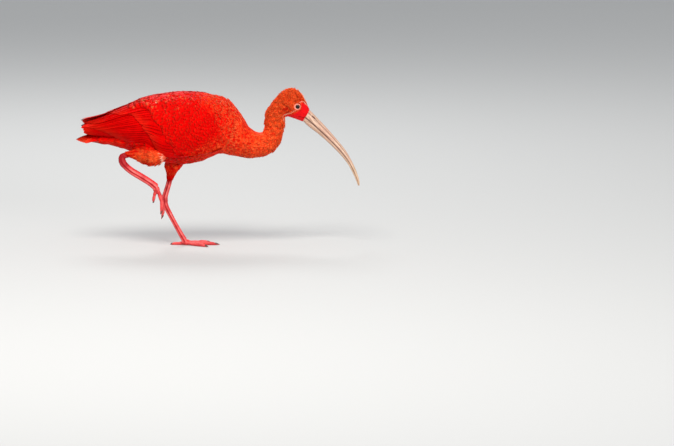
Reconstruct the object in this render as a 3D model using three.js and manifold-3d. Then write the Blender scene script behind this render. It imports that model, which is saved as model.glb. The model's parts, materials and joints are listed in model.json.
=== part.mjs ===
// Scarlet ibis wading with its neck drawn in and its bill lowered: a still, life-size model.
// Millimetres. +X runs towards the bill, +Y to the bird's own left, +Z up.
// The origin is the middle of the standing foot's sole, at floor level.

import * as THREE from 'three';
import { mergeVertices } from 'three/addons/utils/BufferGeometryUtils.js';
import Module from 'manifold-3d';

const wasm = await Module();
wasm.setup();

// Driving dimensions
const GAP = 0.3;
const BODY_SIDES = 20;
const LIMB_SIDES = 10;
const EYE_RADIUS = 5;
const EYE_X = 188;
const EYE_Y = 11.4;
const EYE_Z = 235.5;
const LID_RING_RADIUS = 4.7;
const LID_THICKNESS = 1.3;
const LID_Y = 15.3;
const NOSTRIL = { x: 215.9, y: 5.6, z: 213.6, length: 5, height: 1.3, depth: 3 };
const MOUTH_CORNER = { x: 196.4, z: 217.6, length: 11, depth: 2.4, slit: 0.8 };
const BILL_SLOPE = THREE.MathUtils.degToRad(42);
const WING_TOP_ANGLE = 89;
const WING_LOW_ANGLE = -50;
const SHELL_INSET = 1.2;
const WING_DEPTH = 10;
const WING_REAR_DEPTH = 3.2;
const LEFT_WING_LIFT = 9;
const TAIL_ROOT = new THREE.Vector3(-131, 0, 187.6);
const TAIL_LENGTH = 53;
const TAIL_ROOF = 10;
const TAIL_DROOP = 8.5;
const TAIL_FEATHERS = 12;
const TOE_FLAT_DEPTH = 0.6;
const STANDING_HUB = { centre: [0, 1, 4.6], half: [8.4, 7, 5.4] };
const RAISED_HUB = { centre: [-48.8, -24.3, 98], half: [6, 5.6, 6.4] };

const COLOURS = {
  plumage: { color: 0xd81408, roughness: 0.75 },
  neck: { color: 0xe8401c, roughness: 0.8 },
  wing: { color: 0xc80804, roughness: 0.6 },
  bill: { color: 0xe6b9a0, roughness: 0.45 },
  leg: { color: 0xe0606a, roughness: 0.55 },
  eye: { color: 0x1c0a06, roughness: 0.1 },
};

// A cross-section is a centre with two half-axes: up the section, and out to its side.
function section(lowX, lowZ, highX, highZ, half, y = 0) {
  return {
    centre: new THREE.Vector3((lowX + highX) / 2, y, (lowZ + highZ) / 2),
    up: new THREE.Vector3((highX - lowX) / 2, 0, (highZ - lowZ) / 2),
    side: new THREE.Vector3(0, half, 0),
  };
}

// The same, given by its centre and the angle of its front edge above the X axis.
function across(x, z, degrees, depth, half, y) {
  const angle = THREE.MathUtils.degToRad(degrees);
  return {
    centre: new THREE.Vector3(x, y, z),
    up: new THREE.Vector3(Math.cos(angle), 0, Math.sin(angle)).multiplyScalar(depth / 2),
    side: new THREE.Vector3(0, half, 0),
  };
}

function oval(sides) {
  return Array.from({ length: sides }, (_, i) => {
    const angle = (i / sides) * 2 * Math.PI;
    return [Math.cos(angle), Math.sin(angle)];
  });
}

// A closed surface through rings of equal length, with a fan over each end.
function skin(rings) {
  const count = rings[0].length;
  const points = rings.flat();
  const faces = [];
  for (let ring = 0; ring < rings.length - 1; ring += 1) {
    for (let i = 0; i < count; i += 1) {
      const next = (i + 1) % count;
      const [a, b] = [ring * count + i, ring * count + next];
      faces.push(a, b, a + count, b, b + count, a + count);
    }
  }
  for (const [ring, turned] of [[0, true], [rings.length - 1, false]]) {
    const middle = points.length;
    const sum = rings[ring].reduce((total, p) => total.add(p), new THREE.Vector3());
    points.push(sum.divideScalar(count));
    for (let i = 0; i < count; i += 1) {
      const [a, b] = [ring * count + i, ring * count + ((i + 1) % count)];
      faces.push(...(turned ? [b, a, middle] : [a, b, middle]));
    }
  }
  return outward(points, faces);
}

// Turns every face outwards and gives a geometry.
function outward(points, faces) {
  let volume = 0;
  for (let i = 0; i < faces.length; i += 3) {
    const [a, b, c] = [points[faces[i]], points[faces[i + 1]], points[faces[i + 2]]];
    volume += a.dot(new THREE.Vector3().crossVectors(b, c));
  }
  const index = volume < 0 ? [...faces].reverse() : faces;
  const geometry = new THREE.BufferGeometry();
  geometry.setAttribute('position', new THREE.Float32BufferAttribute(points.flatMap((p) => p.toArray()), 3));
  geometry.setIndex(index);
  return geometry;
}

function solid(geometry) {
  const bare = new THREE.BufferGeometry();
  bare.setAttribute('position', geometry.getAttribute('position'));
  bare.setIndex(geometry.getIndex());
  const merged = mergeVertices(bare, 1e-4);
  return new wasm.Manifold(new wasm.Mesh({
    numProp: 3,
    vertProperties: new Float32Array(merged.attributes.position.array),
    triVerts: new Uint32Array(merged.index.array),
  }));
}

function placed(geometry, position, rotation = [0, 0, 0]) {
  geometry.rotateX(rotation[0]).rotateY(rotation[1]).rotateZ(rotation[2]);
  geometry.translate(...position);
  return solid(geometry);
}

// Rings past an end that round it off over the given depth.
function dome(ring, outwards, depth) {
  return [30, 58, 80].map((degrees) => {
    const angle = THREE.MathUtils.degToRad(degrees);
    return {
      centre: ring.centre.clone().addScaledVector(outwards, depth * Math.sin(angle)),
      up: ring.up.clone().multiplyScalar(Math.cos(angle)),
      side: ring.side.clone().multiplyScalar(Math.cos(angle)),
    };
  });
}

// A smooth closed form through sections. grow swells it all round, as the cutter for a neighbour.
function loft(sections, { steps = 8, shape = oval(BODY_SIDES), grow = 0, domes = [0, 0] } = {}) {
  const curves = ['centre', 'up', 'side'].map((key) => new THREE.CatmullRomCurve3(
    sections.map((s) => s[key]), false, 'catmullrom', 0.5));
  let rings = Array.from({ length: steps + 1 }, (_, i) => {
    const [centre, up, side] = curves.map((curve) => curve.getPoint(i / steps));
    up.setLength(up.length() + grow);
    side.setLength(side.length() + grow);
    return { centre, up, side };
  });
  const first = rings[0];
  const last = rings[steps];
  const back = new THREE.Vector3().subVectors(first.centre, rings[1].centre).normalize();
  const ahead = new THREE.Vector3().subVectors(last.centre, rings[steps - 1].centre).normalize();
  first.centre.addScaledVector(back, domes[0] ? 0 : grow);
  last.centre.addScaledVector(ahead, domes[1] ? 0 : grow);
  if (domes[0]) rings = [...dome(first, back, domes[0] + grow).reverse(), ...rings];
  if (domes[1]) rings = [...rings, ...dome(last, ahead, domes[1] + grow)];
  return solid(skin(rings.map(({ centre, up, side }) => shape.map(([u, v]) => (
    centre.clone().addScaledVector(side, u).addScaledVector(up, v)
  )))));
}

function join(pieces) {
  return pieces.slice(1).reduce((whole, piece) => whole.add(piece), pieces[0]);
}

function cut(whole, cutters) {
  return cutters.reduce((rest, cutter) => rest.subtract(cutter), whole);
}

const group = new THREE.Group();

// The largest closed surface of a solid becomes one named mesh.
function node(name, shape, look) {
  const largest = shape.decompose().sort((a, b) => b.volume() - a.volume())[0];
  const { vertProperties, triVerts } = largest.getMesh();
  const indexed = new THREE.BufferGeometry();
  indexed.setAttribute('position', new THREE.BufferAttribute(new Float32Array(vertProperties), 3));
  indexed.setIndex(new THREE.BufferAttribute(new Uint32Array(triVerts), 1));
  const geometry = indexed.toNonIndexed();
  geometry.computeVertexNormals();
  const mesh = new THREE.Mesh(geometry, new THREE.MeshStandardMaterial({ metalness: 0, ...look }));
  mesh.name = name;
  group.add(mesh);
}

// Torso, from the tail's root to the breast
const TORSO = [
  section(-124, 170, -122, 200, 13),
  section(-101, 161, -101, 220, 24),
  section(-75, 150, -75, 236, 34),
  section(-40, 140, -40, 249, 42),
  section(0, 135.8, 0, 254, 45.5),
  section(34, 143.5, 34, 256.5, 46),
  section(58, 153, 60, 252.5, 44.5),
  section(79, 150, 80, 241, 39.5),
  section(100.5, 146.7, 100.5, 212.8, 30),
];

// Neck, out of the breast, round the bend and up to the nape
const NECK_LOWER = [
  section(100.8, 146.7, 100.8, 212.6, 30),
  section(110.9, 146.2, 109.2, 199.8, 27.5),
  section(121.8, 147.6, 119.6, 193.1, 25),
];
const NECK_MIDDLE = [
  section(122.1, 147.6, 119.9, 193.1, 25),
  section(137.8, 151.8, 127.3, 192.4, 22.5),
  section(152, 162, 130.4, 195.8, 20),
  section(160.9, 175.6, 131.7, 202.7, 18.5),
];
const NECK_UPPER = [
  section(161.1, 175.9, 131.9, 203, 18.5),
  section(164.6, 192.6, 132.4, 213.8, 17.5),
  section(166.8, 208.7, 135.4, 227.7, 16.8),
  section(168, 215.8, 142, 237.5, 16.2),
];
const HEAD = [
  section(168.2, 216.2, 142.4, 237.9, 16.2),
  section(169, 217.6, 152.9, 251.4, 16.4),
  section(170.5, 217.5, 167.2, 261.9, 17),
  section(176.4, 215.8, 180.8, 264.8, 17.2),
  section(184.8, 212.7, 192.5, 257.5, 15.2),
  section(191.5, 210.4, 200.9, 244.6, 11.8),
  section(197.2, 208, 207.9, 229.8, 8.4),
];

// Bill stations: ridge of the upper half, line of the mouth, lower edge, half width
const BILL = [
  { ridge: [208.2, 229.4], mouth: [201.3, 215.6], low: [197.4, 207.8], half: 8.2 },
  { ridge: [217.7, 218.5], mouth: [210.7, 207.9], low: [206, 200.9], half: 7 },
  { ridge: [236.2, 198.7], mouth: [229, 190.9], low: [224.8, 186.3], half: 5.9 },
  { ridge: [253, 179.3], mouth: [246.4, 173.9], low: [242.3, 170.5], half: 5.2 },
  { ridge: [267.1, 161.8], mouth: [261.8, 156.9], low: [258.6, 153.9], half: 4.5 },
  { ridge: [277.7, 143.7], mouth: [273.9, 140.5], low: [271.2, 138.3], half: 3.8 },
  { ridge: [285.8, 126.3], mouth: [282.2, 124], low: [279.9, 122.5], half: 3.2 },
  { ridge: [290.6, 111.4], mouth: [287.8, 110.3], low: [285.8, 109.6], half: 2.6 },
  { ridge: [291.8, 102], mouth: [290, 101.9], low: [288.6, 101.8], half: 2 },
];
const UPPER_HALF_SHAPE = [
  [0.9, -1], [1, -0.7], [0.97, -0.25], [0.8, 0.2], [0.6, 0.62], [0.3, 0.92],
  [0, 1], [-0.3, 0.92], [-0.6, 0.62], [-0.8, 0.2], [-0.97, -0.25], [-1, -0.7], [-0.9, -1],
];
const LOWER_HALF_SHAPE = UPPER_HALF_SHAPE.map(([u, v]) => [u * 0.93, -v]).reverse();

// Legs
const THIGH_LEFT = [
  section(-25.2, 161.2, 20.2, 164.6, 17, 24),
  section(-36.1, 139, -0.8, 137.3, 14, 19),
  section(-33.9, 125.1, -11.8, 125.1, 10, 15),
  section(-33.3, 115.3, -17.8, 115.3, 7.4, 12.5),
  section(-32.1, 110.3, -21.5, 109.8, 5.2, 12),
];
const SHANK_LEFT = [
  section(-30.9, 116, -21.4, 115, 3.8, 12.3),
  section(-33.6, 104, -24.1, 102, 4, 11.4),
  section(-37.4, 92, -27.7, 90, 4.2, 10.8),
  section(-41, 81, -30.4, 79.5, 4.5, 10.4),
  section(-42.4, 74.9, -30, 72.6, 5, 10),
];
const TARSUS_LEFT = [
  across(-36.2, 72.4, 20, 11.4, 4.8, 10),
  across(-32.6, 62, 26, 9.4, 4.2, 8.6),
  across(-19, 36.5, 28, 8.4, 3.8, 4.8),
  across(-8, 17, 30, 9, 4.2, 2.2),
  across(-3.4, 9.5, 34, 10, 5, 1.2),
];
const THIGH_RIGHT = [
  section(-28.6, 151.5, -31.1, 159.2, 6, -27),
  section(-38.6, 142.3, -41.2, 163.4, 11.5, -28),
  section(-55.4, 137.7, -56.3, 168, 13.5, -29),
  section(-70.6, 141.6, -71.4, 167.4, 12, -29),
  section(-84, 147.9, -85.7, 165.2, 9, -28.6),
  section(-94.9, 151.9, -96.1, 163.1, 6, -28.5),
];
const SHANK_RIGHT = [
  section(-82.3, 151.9, -83.3, 161.5, 4, -28.8),
  section(-97.4, 151, -99.5, 160.8, 4.2, -28.5),
  section(-104.8, 147.8, -107.6, 158.4, 4.8, -28.3),
];
const TARSUS_RIGHT = [
  section(-112.2, 151, -100.4, 153.6, 5, -28.2),
  section(-110.2, 139.6, -98.6, 145.4, 4.8, -28),
  section(-95.6, 125.3, -88.4, 135.1, 4, -27),
  section(-79.5, 114.9, -71.9, 125.1, 3.8, -26),
  section(-63, 104.6, -55.3, 114.4, 4, -25),
  section(-56.6, 99, -46.2, 107.4, 4.8, -24.6),
];

const torsoShape = (grow) => loft(TORSO, { steps: 16, grow, domes: [6, 0] });
const thighLeftShape = (grow) => loft(THIGH_LEFT, { steps: 7, shape: oval(14), grow, domes: [0, 2] });
const thighRightShape = (grow) => loft(THIGH_RIGHT, { steps: 8, shape: oval(14), grow, domes: [3, 3] });
const limb = (sections, steps, grow, domes) => (
  loft(sections, { steps, shape: oval(LIMB_SIDES), grow, domes })
);

node('torso', torsoShape(0), COLOURS.plumage);
node('neck_lower', loft(NECK_LOWER, { steps: 4 }), COLOURS.neck);
node('neck_middle', loft(NECK_MIDDLE, { steps: 6 }), COLOURS.neck);
node('neck_upper', loft(NECK_UPPER, { steps: 6 }), COLOURS.neck);

// Head with eye sockets, lids and the corners of the mouth
function head() {
  const rings = [];
  const cutters = [];
  for (const flank of [-1, 1]) {
    const ring = new THREE.TorusGeometry(LID_RING_RADIUS, LID_THICKNESS, 6, 14);
    rings.push(placed(ring, [EYE_X, flank * LID_Y, EYE_Z], [Math.PI / 2, 0, flank * 0.12]));
    cutters.push(placed(
      new THREE.SphereGeometry(EYE_RADIUS + GAP, 14, 8), [EYE_X, flank * EYE_Y, EYE_Z]));
    const slit = new THREE.BoxGeometry(MOUTH_CORNER.length, MOUTH_CORNER.depth, MOUTH_CORNER.slit);
    cutters.push(placed(slit, [MOUTH_CORNER.x, flank * 10.4, MOUTH_CORNER.z], [0, 0.35, -flank * 0.42]));
  }
  return cut(join([loft(HEAD, { steps: 11 }), ...rings]), cutters);
}
node('head', head(), COLOURS.neck);

for (const [name, flank] of [['eye_right', -1], ['eye_left', 1]]) {
  const ball = placed(new THREE.SphereGeometry(EYE_RADIUS, 12, 8), [EYE_X, flank * EYE_Y, EYE_Z]);
  node(name, ball, COLOURS.eye);
}

// Each half of the bill lies on its own side of the mouth line, half a gap from it.
function billHalf(edge, shape) {
  const sections = BILL.map((station) => {
    const outer = new THREE.Vector2(...station[edge]);
    const inner = new THREE.Vector2(...station.mouth);
    inner.addScaledVector(outer.clone().sub(inner).normalize(), GAP / 2 + 0.02);
    const [low, high] = edge === 'ridge' ? [inner, outer] : [outer, inner];
    return section(low.x, low.y, high.x, high.y, station.half);
  });
  return loft(sections, { steps: 14, shape, domes: [0, 1.2] });
}
function nostril(flank) {
  const hole = new THREE.SphereGeometry(0.5, 10, 8);
  hole.scale(NOSTRIL.length, NOSTRIL.depth, NOSTRIL.height);
  return placed(hole, [NOSTRIL.x, flank * NOSTRIL.y, NOSTRIL.z], [0, BILL_SLOPE, 0]);
}
node('bill_upper', cut(billHalf('ridge', UPPER_HALF_SHAPE), [nostril(-1), nostril(1)]), COLOURS.bill);
node('bill_lower', billHalf('low', LOWER_HALF_SHAPE), COLOURS.bill);

// Legs, each part cut back from the one above it
node('thigh_left', cut(thighLeftShape(0), [torsoShape(GAP)]), COLOURS.plumage);
node('shank_left', cut(limb(SHANK_LEFT, 7, 0, [0, 4]), [thighLeftShape(GAP)]), COLOURS.leg);
node('tarsus_left', cut(limb(TARSUS_LEFT, 8, 0, [3, 3]), [limb(SHANK_LEFT, 7, GAP, [0, 4])]), COLOURS.leg);
node('thigh_right', cut(thighRightShape(0), [torsoShape(GAP)]), COLOURS.neck);
node('shank_right', cut(limb(SHANK_RIGHT, 4, 0, [0, 5]), [thighRightShape(GAP)]), COLOURS.leg);
node('tarsus_right', cut(limb(TARSUS_RIGHT, 9, 0, [4, 4]), [limb(SHANK_RIGHT, 4, GAP, [0, 5])]), COLOURS.leg);

// Toes ahead and behind: heading from the X axis in degrees, length and radius
const STANDING_TOES = [
  { heading: -36, length: 47, radius: 3.7 },
  { heading: -2, length: 57, radius: 4 },
  { heading: 33, length: 49, radius: 3.8 },
  { heading: 176, length: 27, radius: 3.3 },
];
// The raised foot's toes: points from the foot's middle to the claw's tip, and radius
const RAISED_START = [-48.3, -24.2, 99];
const RAISED_TOES = [
  { path: [[-42.6, -27.5, 86.7], [-39.3, -31.9, 71.9], [-41.7, -35.2, 56.4]], radius: 3.6 },
  { path: [[-41.3, -24.2, 84], [-37.3, -24.2, 66], [-40.3, -24.2, 47]], radius: 3.9 },
  { path: [[-42.3, -20.9, 86.1], [-38.8, -16.5, 70.6], [-41.4, -13.2, 54.3]], radius: 3.7 },
  { path: [[-51, -24, 91], [-53.2, -23.6, 82], [-54.4, -23.4, 74]], radius: 3.2 },
];

// A toe with its joints runs through its points and ends in a claw.
function toe(points, radius, reference) {
  const curve = new THREE.CatmullRomCurve3(points.map((p) => new THREE.Vector3(...p)));
  const profile = [[0, 1.05], [0.2, 0.84], [0.34, 1], [0.5, 0.8], [0.62, 0.9], [0.8, 0.76],
    [0.87, 0.5], [1, 0.14]];
  const rings = profile.map(([t, scale]) => {
    const centre = curve.getPointAt(t);
    const ahead = curve.getTangentAt(t);
    const side = new THREE.Vector3().crossVectors(reference, ahead).normalize();
    const up = new THREE.Vector3().crossVectors(ahead, side);
    return oval(8).map(([u, v]) => (
      centre.clone().addScaledVector(side, u * radius * scale).addScaledVector(up, v * radius * scale)
    ));
  });
  return solid(skin(rings));
}

// The standing foot: three toes ahead, one behind, each with a flat on the floor.
function standingFoot() {
  const [hubX, hubY] = STANDING_HUB.centre;
  const shapes = STANDING_TOES.map(({ heading, length, radius }) => {
    const angle = THREE.MathUtils.degToRad(heading);
    const at = (reach, z) => [hubX + reach * Math.cos(angle), hubY + reach * Math.sin(angle), z];
    const rest = radius - TOE_FLAT_DEPTH;
    return toe([at(0, rest + 1.6), at(length * 0.35, rest - 0.3), at(length * 0.7, rest * 0.8),
      at(length, 1.1)], radius, new THREE.Vector3(0, 0, 1));
  });
  const hub = new THREE.SphereGeometry(1, 12, 6);
  hub.scale(...STANDING_HUB.half);
  const floor = new THREE.BoxGeometry(400, 400, 40);
  const whole = join([...shapes, placed(hub, STANDING_HUB.centre)]);
  return cut(whole, [placed(floor, [0, 0, -20]), limb(TARSUS_LEFT, 8, GAP, [3, 3])]);
}
node('foot_left', standingFoot(), COLOURS.leg);

// The raised foot: its toes hang loosely and curl back.
function raisedFoot() {
  const ahead = new THREE.Vector3(1, 0, 0);
  const shapes = RAISED_TOES.map(({ path, radius }) => toe([RAISED_START, ...path], radius, ahead));
  const hub = new THREE.SphereGeometry(1, 10, 6);
  hub.scale(...RAISED_HUB.half);
  return cut(join([...shapes, placed(hub, RAISED_HUB.centre)]), [limb(TARSUS_RIGHT, 9, GAP, [4, 4])]);
}
node('foot_right', raisedFoot(), COLOURS.leg);

// The folded wings lie on this form: top, bottom and half width along the body
const FOLD = [
  { x: -182, top: 201, low: 189, half: 13 },
  { x: -168, top: 206, low: 186, half: 16 },
  { x: -144, top: 214.5, low: 182.5, half: 21 },
  { x: -119, top: 226, low: 177.5, half: 27.5 },
  { x: -94, top: 237.5, low: 170, half: 35 },
  { x: -60, top: 250.5, low: 160, half: 44 },
  { x: -35, top: 256, low: 141, half: 49 },
  { x: 0, top: 260, low: 136, half: 51.5 },
  { x: 34, top: 257.5, low: 142, half: 50 },
  { x: 60, top: 247, low: 152, half: 42 },
  { x: 74, top: 232, low: 160, half: 32 },
];

// Smooth value of one column of FOLD at x
function foldAt(x, key) {
  const end = FOLD.length - 1;
  const i = Math.min(Math.max(FOLD.findIndex((row) => row.x > x) - 1, 0), end - 1);
  const slope = (k) => {
    const [a, b] = [FOLD[Math.max(k - 1, 0)], FOLD[Math.min(k + 1, end)]];
    return (b[key] - a[key]) / (b.x - a.x);
  };
  const span = FOLD[i + 1].x - FOLD[i].x;
  const t = THREE.MathUtils.clamp((x - FOLD[i].x) / span, 0, 1);
  return (2 * t ** 3 - 3 * t ** 2 + 1) * FOLD[i][key] + (t ** 3 - 2 * t ** 2 + t) * span * slope(i)
    + (3 * t ** 2 - 2 * t ** 3) * FOLD[i + 1][key] + (t ** 3 - t ** 2) * span * slope(i + 1);
}

// A point on the folded wing: x along the body, degrees round from the flank to the back
function onFold(flank, x, degrees, inwards = 0) {
  const angle = THREE.MathUtils.degToRad(degrees);
  const [top, low, half] = ['top', 'low', 'half'].map((key) => foldAt(x, key));
  const rear = THREE.MathUtils.clamp((-x - 60) / 120, 0, 1);
  const lift = flank > 0 ? LEFT_WING_LIFT * rear ** 2 : 0;
  return new THREE.Vector3(
    x,
    flank * Math.max(half - inwards, 1) * Math.cos(angle),
    (top + low) / 2 + Math.max((top - low) / 2 - inwards, 1) * Math.sin(angle) + lift,
  );
}

function foldNormal(flank, x, degrees) {
  const here = onFold(flank, x, degrees);
  const alongX = onFold(flank, x + 1, degrees).sub(here);
  const round = onFold(flank, x, degrees + 2).sub(here);
  return new THREE.Vector3().crossVectors(alongX, round).multiplyScalar(flank).normalize().negate();
}

// The wing's arm: a shell on the flank that thins towards the rear
function wingShell(flank) {
  const rings = [];
  for (let x = 70; x >= -146; x -= 18) {
    const rear = THREE.MathUtils.smoothstep(-x, 40, 130);
    const depth = THREE.MathUtils.lerp(WING_DEPTH, WING_REAR_DEPTH, rear);
    const angles = Array.from({ length: 7 }, (_, i) => (
      THREE.MathUtils.lerp(WING_LOW_ANGLE, WING_TOP_ANGLE, i / 6)
    ));
    rings.push([
      ...angles.map((degrees) => onFold(flank, x, degrees, SHELL_INSET)),
      ...angles.reverse().map((degrees) => onFold(flank, x, degrees, depth)),
    ]);
  }
  return solid(skin(rings));
}

// A feather vane along spine points that each carry the surface's normal
const VANE_OUTLINE = [0.55, 0.92, 1, 0.86, 0.3];
const VANE_THICKNESS = [1.2, 0.95, 0.8, 0.7, 0.55];
const VANE_SINK = 2.8;
function vane(spine, { width, roll = 0, fan = 0 }) {
  const rows = spine.map(({ at, normal }, i) => {
    const ahead = spine[Math.min(i + 1, spine.length - 1)].at.clone()
      .sub(spine[Math.max(i - 1, 0)].at).normalize();
    const side = new THREE.Vector3().crossVectors(normal, ahead).normalize();
    const half = (width * VANE_OUTLINE[i]) / 2;
    const slope = roll * (1 + (fan * i) / (spine.length - 1));
    const face = (rise) => [-1, 1].map((u) => at.clone()
      .addScaledVector(side, u * half)
      .addScaledVector(normal, rise + slope * u * half));
    return [face(VANE_THICKNESS[i] / 2), face(-VANE_THICKNESS[i] / 2)];
  });
  return solid(strip(rows));
}

// Closes two like faces, given row by row, into one thin body split alike on both.
function strip(rows) {
  const wide = rows[0][0].length;
  const points = rows.flatMap(([upper, lower]) => [...upper, ...lower]);
  const at = (row, face, i) => (row * 2 + face) * wide + i;
  const faces = [];
  const quad = (a, b, c, d) => faces.push(a, b, c, a, c, d);
  for (let row = 0; row < rows.length - 1; row += 1) {
    for (let i = 0; i < wide - 1; i += 1) {
      const [a, b, c, d] = [[row, i], [row, i + 1], [row + 1, i + 1], [row + 1, i]];
      quad(...[a, b, c, d].map(([r, k]) => at(r, 0, k)));
      faces.push(at(c[0], 1, c[1]), at(b[0], 1, b[1]), at(a[0], 1, a[1]));
      faces.push(at(d[0], 1, d[1]), at(c[0], 1, c[1]), at(a[0], 1, a[1]));
    }
    quad(at(row, 0, 0), at(row + 1, 0, 0), at(row + 1, 1, 0), at(row, 1, 0));
    const edge = wide - 1;
    quad(at(row, 1, edge), at(row + 1, 1, edge), at(row + 1, 0, edge), at(row, 0, edge));
  }
  const end = rows.length - 1;
  for (let i = 0; i < wide - 1; i += 1) {
    quad(at(0, 0, i), at(0, 1, i), at(0, 1, i + 1), at(0, 0, i + 1));
    quad(at(end, 0, i), at(end, 0, i + 1), at(end, 1, i + 1), at(end, 1, i));
  }
  return outward(points, faces);
}

// Wing feathers in tiers, lowest tier first: primaries, secondaries, tertials, greater coverts,
// median coverts and shoulder feathers. roots and tips give the first and the last vane of a tier
// as [x, degrees round the body]. lift is how far the tips stand off the fold, roll how much each
// vane's upper edge is tucked under the next one, and fan how much more so at its tip.
const TIERS = [
  {
    count: 6, roots: [[-110, -40], [-118, 42]], tips: [[-165, -34], [-175, 50]],
    width: 7.5, lift: 0.6, roll: 0.2, fan: 1.2,
  },
  {
    count: 8, roots: [[-24, -40], [-62, 34]], tips: [[-112, -42], [-156, 46]],
    width: 12, lift: 1.8, roll: 0.16, fan: 1.6,
  },
  {
    count: 4, roots: [[-62, 50], [-70, 82]], tips: [[-142, 54], [-166, 84]],
    width: 11, lift: 3, roll: 0.26, fan: 0.6,
  },
  {
    count: 7, roots: [[14, -40], [-42, 32]], tips: [[-42, -42], [-88, 36]],
    width: 12.5, lift: 2, roll: 0.15, fan: 0,
  },
  {
    count: 6, roots: [[42, -34], [2, 34]], tips: [[-2, -38], [-48, 34]],
    width: 14, lift: 2.6, roll: 0.13, fan: 0,
  },
  {
    count: 5, roots: [[38, 48], [-14, 82]], tips: [[-24, 50], [-86, 82]],
    width: 12, lift: 3.8, roll: 0.18, fan: 0,
  },
];
const VANE_STATIONS = [0, 0.32, 0.62, 0.86, 1];

function wingVane(flank, tier, i) {
  const share = i / (tier.count - 1);
  const jitter = () => (THREE.MathUtils.seededRandom() - 0.5) * 2;
  const between = ([a, b], k) => THREE.MathUtils.lerp(a[k], b[k], share);
  const root = [between(tier.roots, 0), between(tier.roots, 1)];
  const tip = [between(tier.tips, 0) + 2.5 * jitter(), between(tier.tips, 1) + 0.5 * jitter()];
  const spine = VANE_STATIONS.map((t) => {
    const x = THREE.MathUtils.lerp(root[0], tip[0], t);
    const degrees = THREE.MathUtils.lerp(root[1], tip[1], t);
    const normal = foldNormal(flank, x, degrees);
    const height = THREE.MathUtils.lerp(-VANE_SINK, tier.lift, t ** 0.5);
    return { at: onFold(flank, x, degrees).addScaledVector(normal, height), normal };
  });
  return vane(spine, { width: tier.width, roll: -flank * tier.roll, fan: tier.fan });
}

function wing(flank) {
  THREE.MathUtils.seededRandom(11);
  const vanes = TIERS.flatMap((tier) => (
    Array.from({ length: tier.count }, (_, i) => wingVane(flank, tier, i))
  ));
  const otherSide = placed(new THREE.BoxGeometry(600, 200, 600), [0, -flank * (100 - GAP / 2 - 0.1), 200]);
  const thigh = flank > 0 ? thighLeftShape(GAP) : thighRightShape(GAP);
  return cut(join([wingShell(flank), ...vanes]), [torsoShape(GAP), thigh, otherSide]);
}
node('wing_right', wing(-1), COLOURS.wing);
node('wing_left', wing(1), COLOURS.wing);

// Tail: a short stump, twelve long feathers in a roof-like fan and a few coverts beneath
function tail() {
  const stump = loft([
    section(-127, 172, -127, 196, 11),
    section(-134, 173.5, -134, 193, 10.5),
    section(-141, 175, -141, 190, 9),
  ], { steps: 2, shape: oval(12), domes: [6, 3] });
  const feathers = Array.from({ length: TAIL_FEATHERS }, (_, i) => {
    const place = (i / (TAIL_FEATHERS - 1)) * 2 - 1;
    const side = Math.sign(place);
    const spine = VANE_STATIONS.map((t) => ({
      at: new THREE.Vector3(
        TAIL_ROOT.x - (TAIL_LENGTH - 5 * place * place) * t,
        place * THREE.MathUtils.lerp(6, 14, t),
        TAIL_ROOT.z + 0.45 * side - TAIL_DROOP * t ** 3 - TAIL_ROOF * Math.abs(place) * (1 - 0.4 * t * t),
      ),
      normal: new THREE.Vector3(0.05, side * 0.1, 1).normalize(),
    }));
    return vane(spine, { width: 9.5 });
  });
  const coverts = [-0.7, 0, 0.7].map((place) => vane(VANE_STATIONS.map((t) => ({
    at: new THREE.Vector3(-129 - 30 * t, place * 9, 174.2 + 0.8 * t + 1.4 * Math.abs(place)),
    normal: new THREE.Vector3(0, -place * 0.3, 1).normalize(),
  })), { width: 11 }));
  return cut(join([stump, ...feathers, ...coverts]), [torsoShape(GAP)]);
}
node('tail', tail(), COLOURS.plumage);

export default group;
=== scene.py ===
"""Scarlet ibis wading with its neck drawn in: the finish of a life-size still model.

The meshes are in metres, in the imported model's frame: +X towards the bill, +Y to the bird's own
left, +Z up, and the origin under the standing foot. Tables, outlines and lines are in millimetres,
and points_of, set_points and grid_mesh turn between the two. One skin stands for the flesh, small
feathers are sown over it, and the folded wings and the tail are laid feather by feather.
"""

import json
import math

import bmesh
import bpy
import numpy as np
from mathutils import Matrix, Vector
from mathutils.bvhtree import BVHTree

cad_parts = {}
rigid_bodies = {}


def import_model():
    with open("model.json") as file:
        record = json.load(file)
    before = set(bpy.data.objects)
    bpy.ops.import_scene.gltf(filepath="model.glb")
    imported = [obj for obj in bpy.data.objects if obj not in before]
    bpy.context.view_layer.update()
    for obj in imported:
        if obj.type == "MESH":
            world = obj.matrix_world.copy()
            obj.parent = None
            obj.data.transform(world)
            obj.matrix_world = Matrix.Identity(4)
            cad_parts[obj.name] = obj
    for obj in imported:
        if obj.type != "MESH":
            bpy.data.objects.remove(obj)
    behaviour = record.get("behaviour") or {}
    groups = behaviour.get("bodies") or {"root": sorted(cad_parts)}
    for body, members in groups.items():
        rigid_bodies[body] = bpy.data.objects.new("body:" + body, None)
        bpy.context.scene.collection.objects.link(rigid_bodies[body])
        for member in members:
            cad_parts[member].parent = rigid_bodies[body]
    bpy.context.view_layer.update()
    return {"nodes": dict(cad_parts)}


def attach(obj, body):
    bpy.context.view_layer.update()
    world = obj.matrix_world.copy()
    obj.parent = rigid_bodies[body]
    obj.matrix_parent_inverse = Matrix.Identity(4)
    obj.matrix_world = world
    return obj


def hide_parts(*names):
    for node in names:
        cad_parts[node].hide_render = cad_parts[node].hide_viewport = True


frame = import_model()

MM = 0.001
SIDES = {"right": -1, "left": 1}
RANDOM = np.random.default_rng(7)
ROWS_AT_ONCE = 4000


# Studio

VIEW_WIDTH = 1.132
CAMERA_DISTANCE = 10.0
CAMERA_TILT = math.radians(8)
SENSOR_WIDTH = 36.0
CLIP_END = 100.0
AIM = Vector((0.2537, 0.0, 0.0373))
FLOOR_HALF = 30.0
AIR_TINT = (0.93, 0.96, 1.0, 1)
AIR_STRENGTH = 0.62
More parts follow.
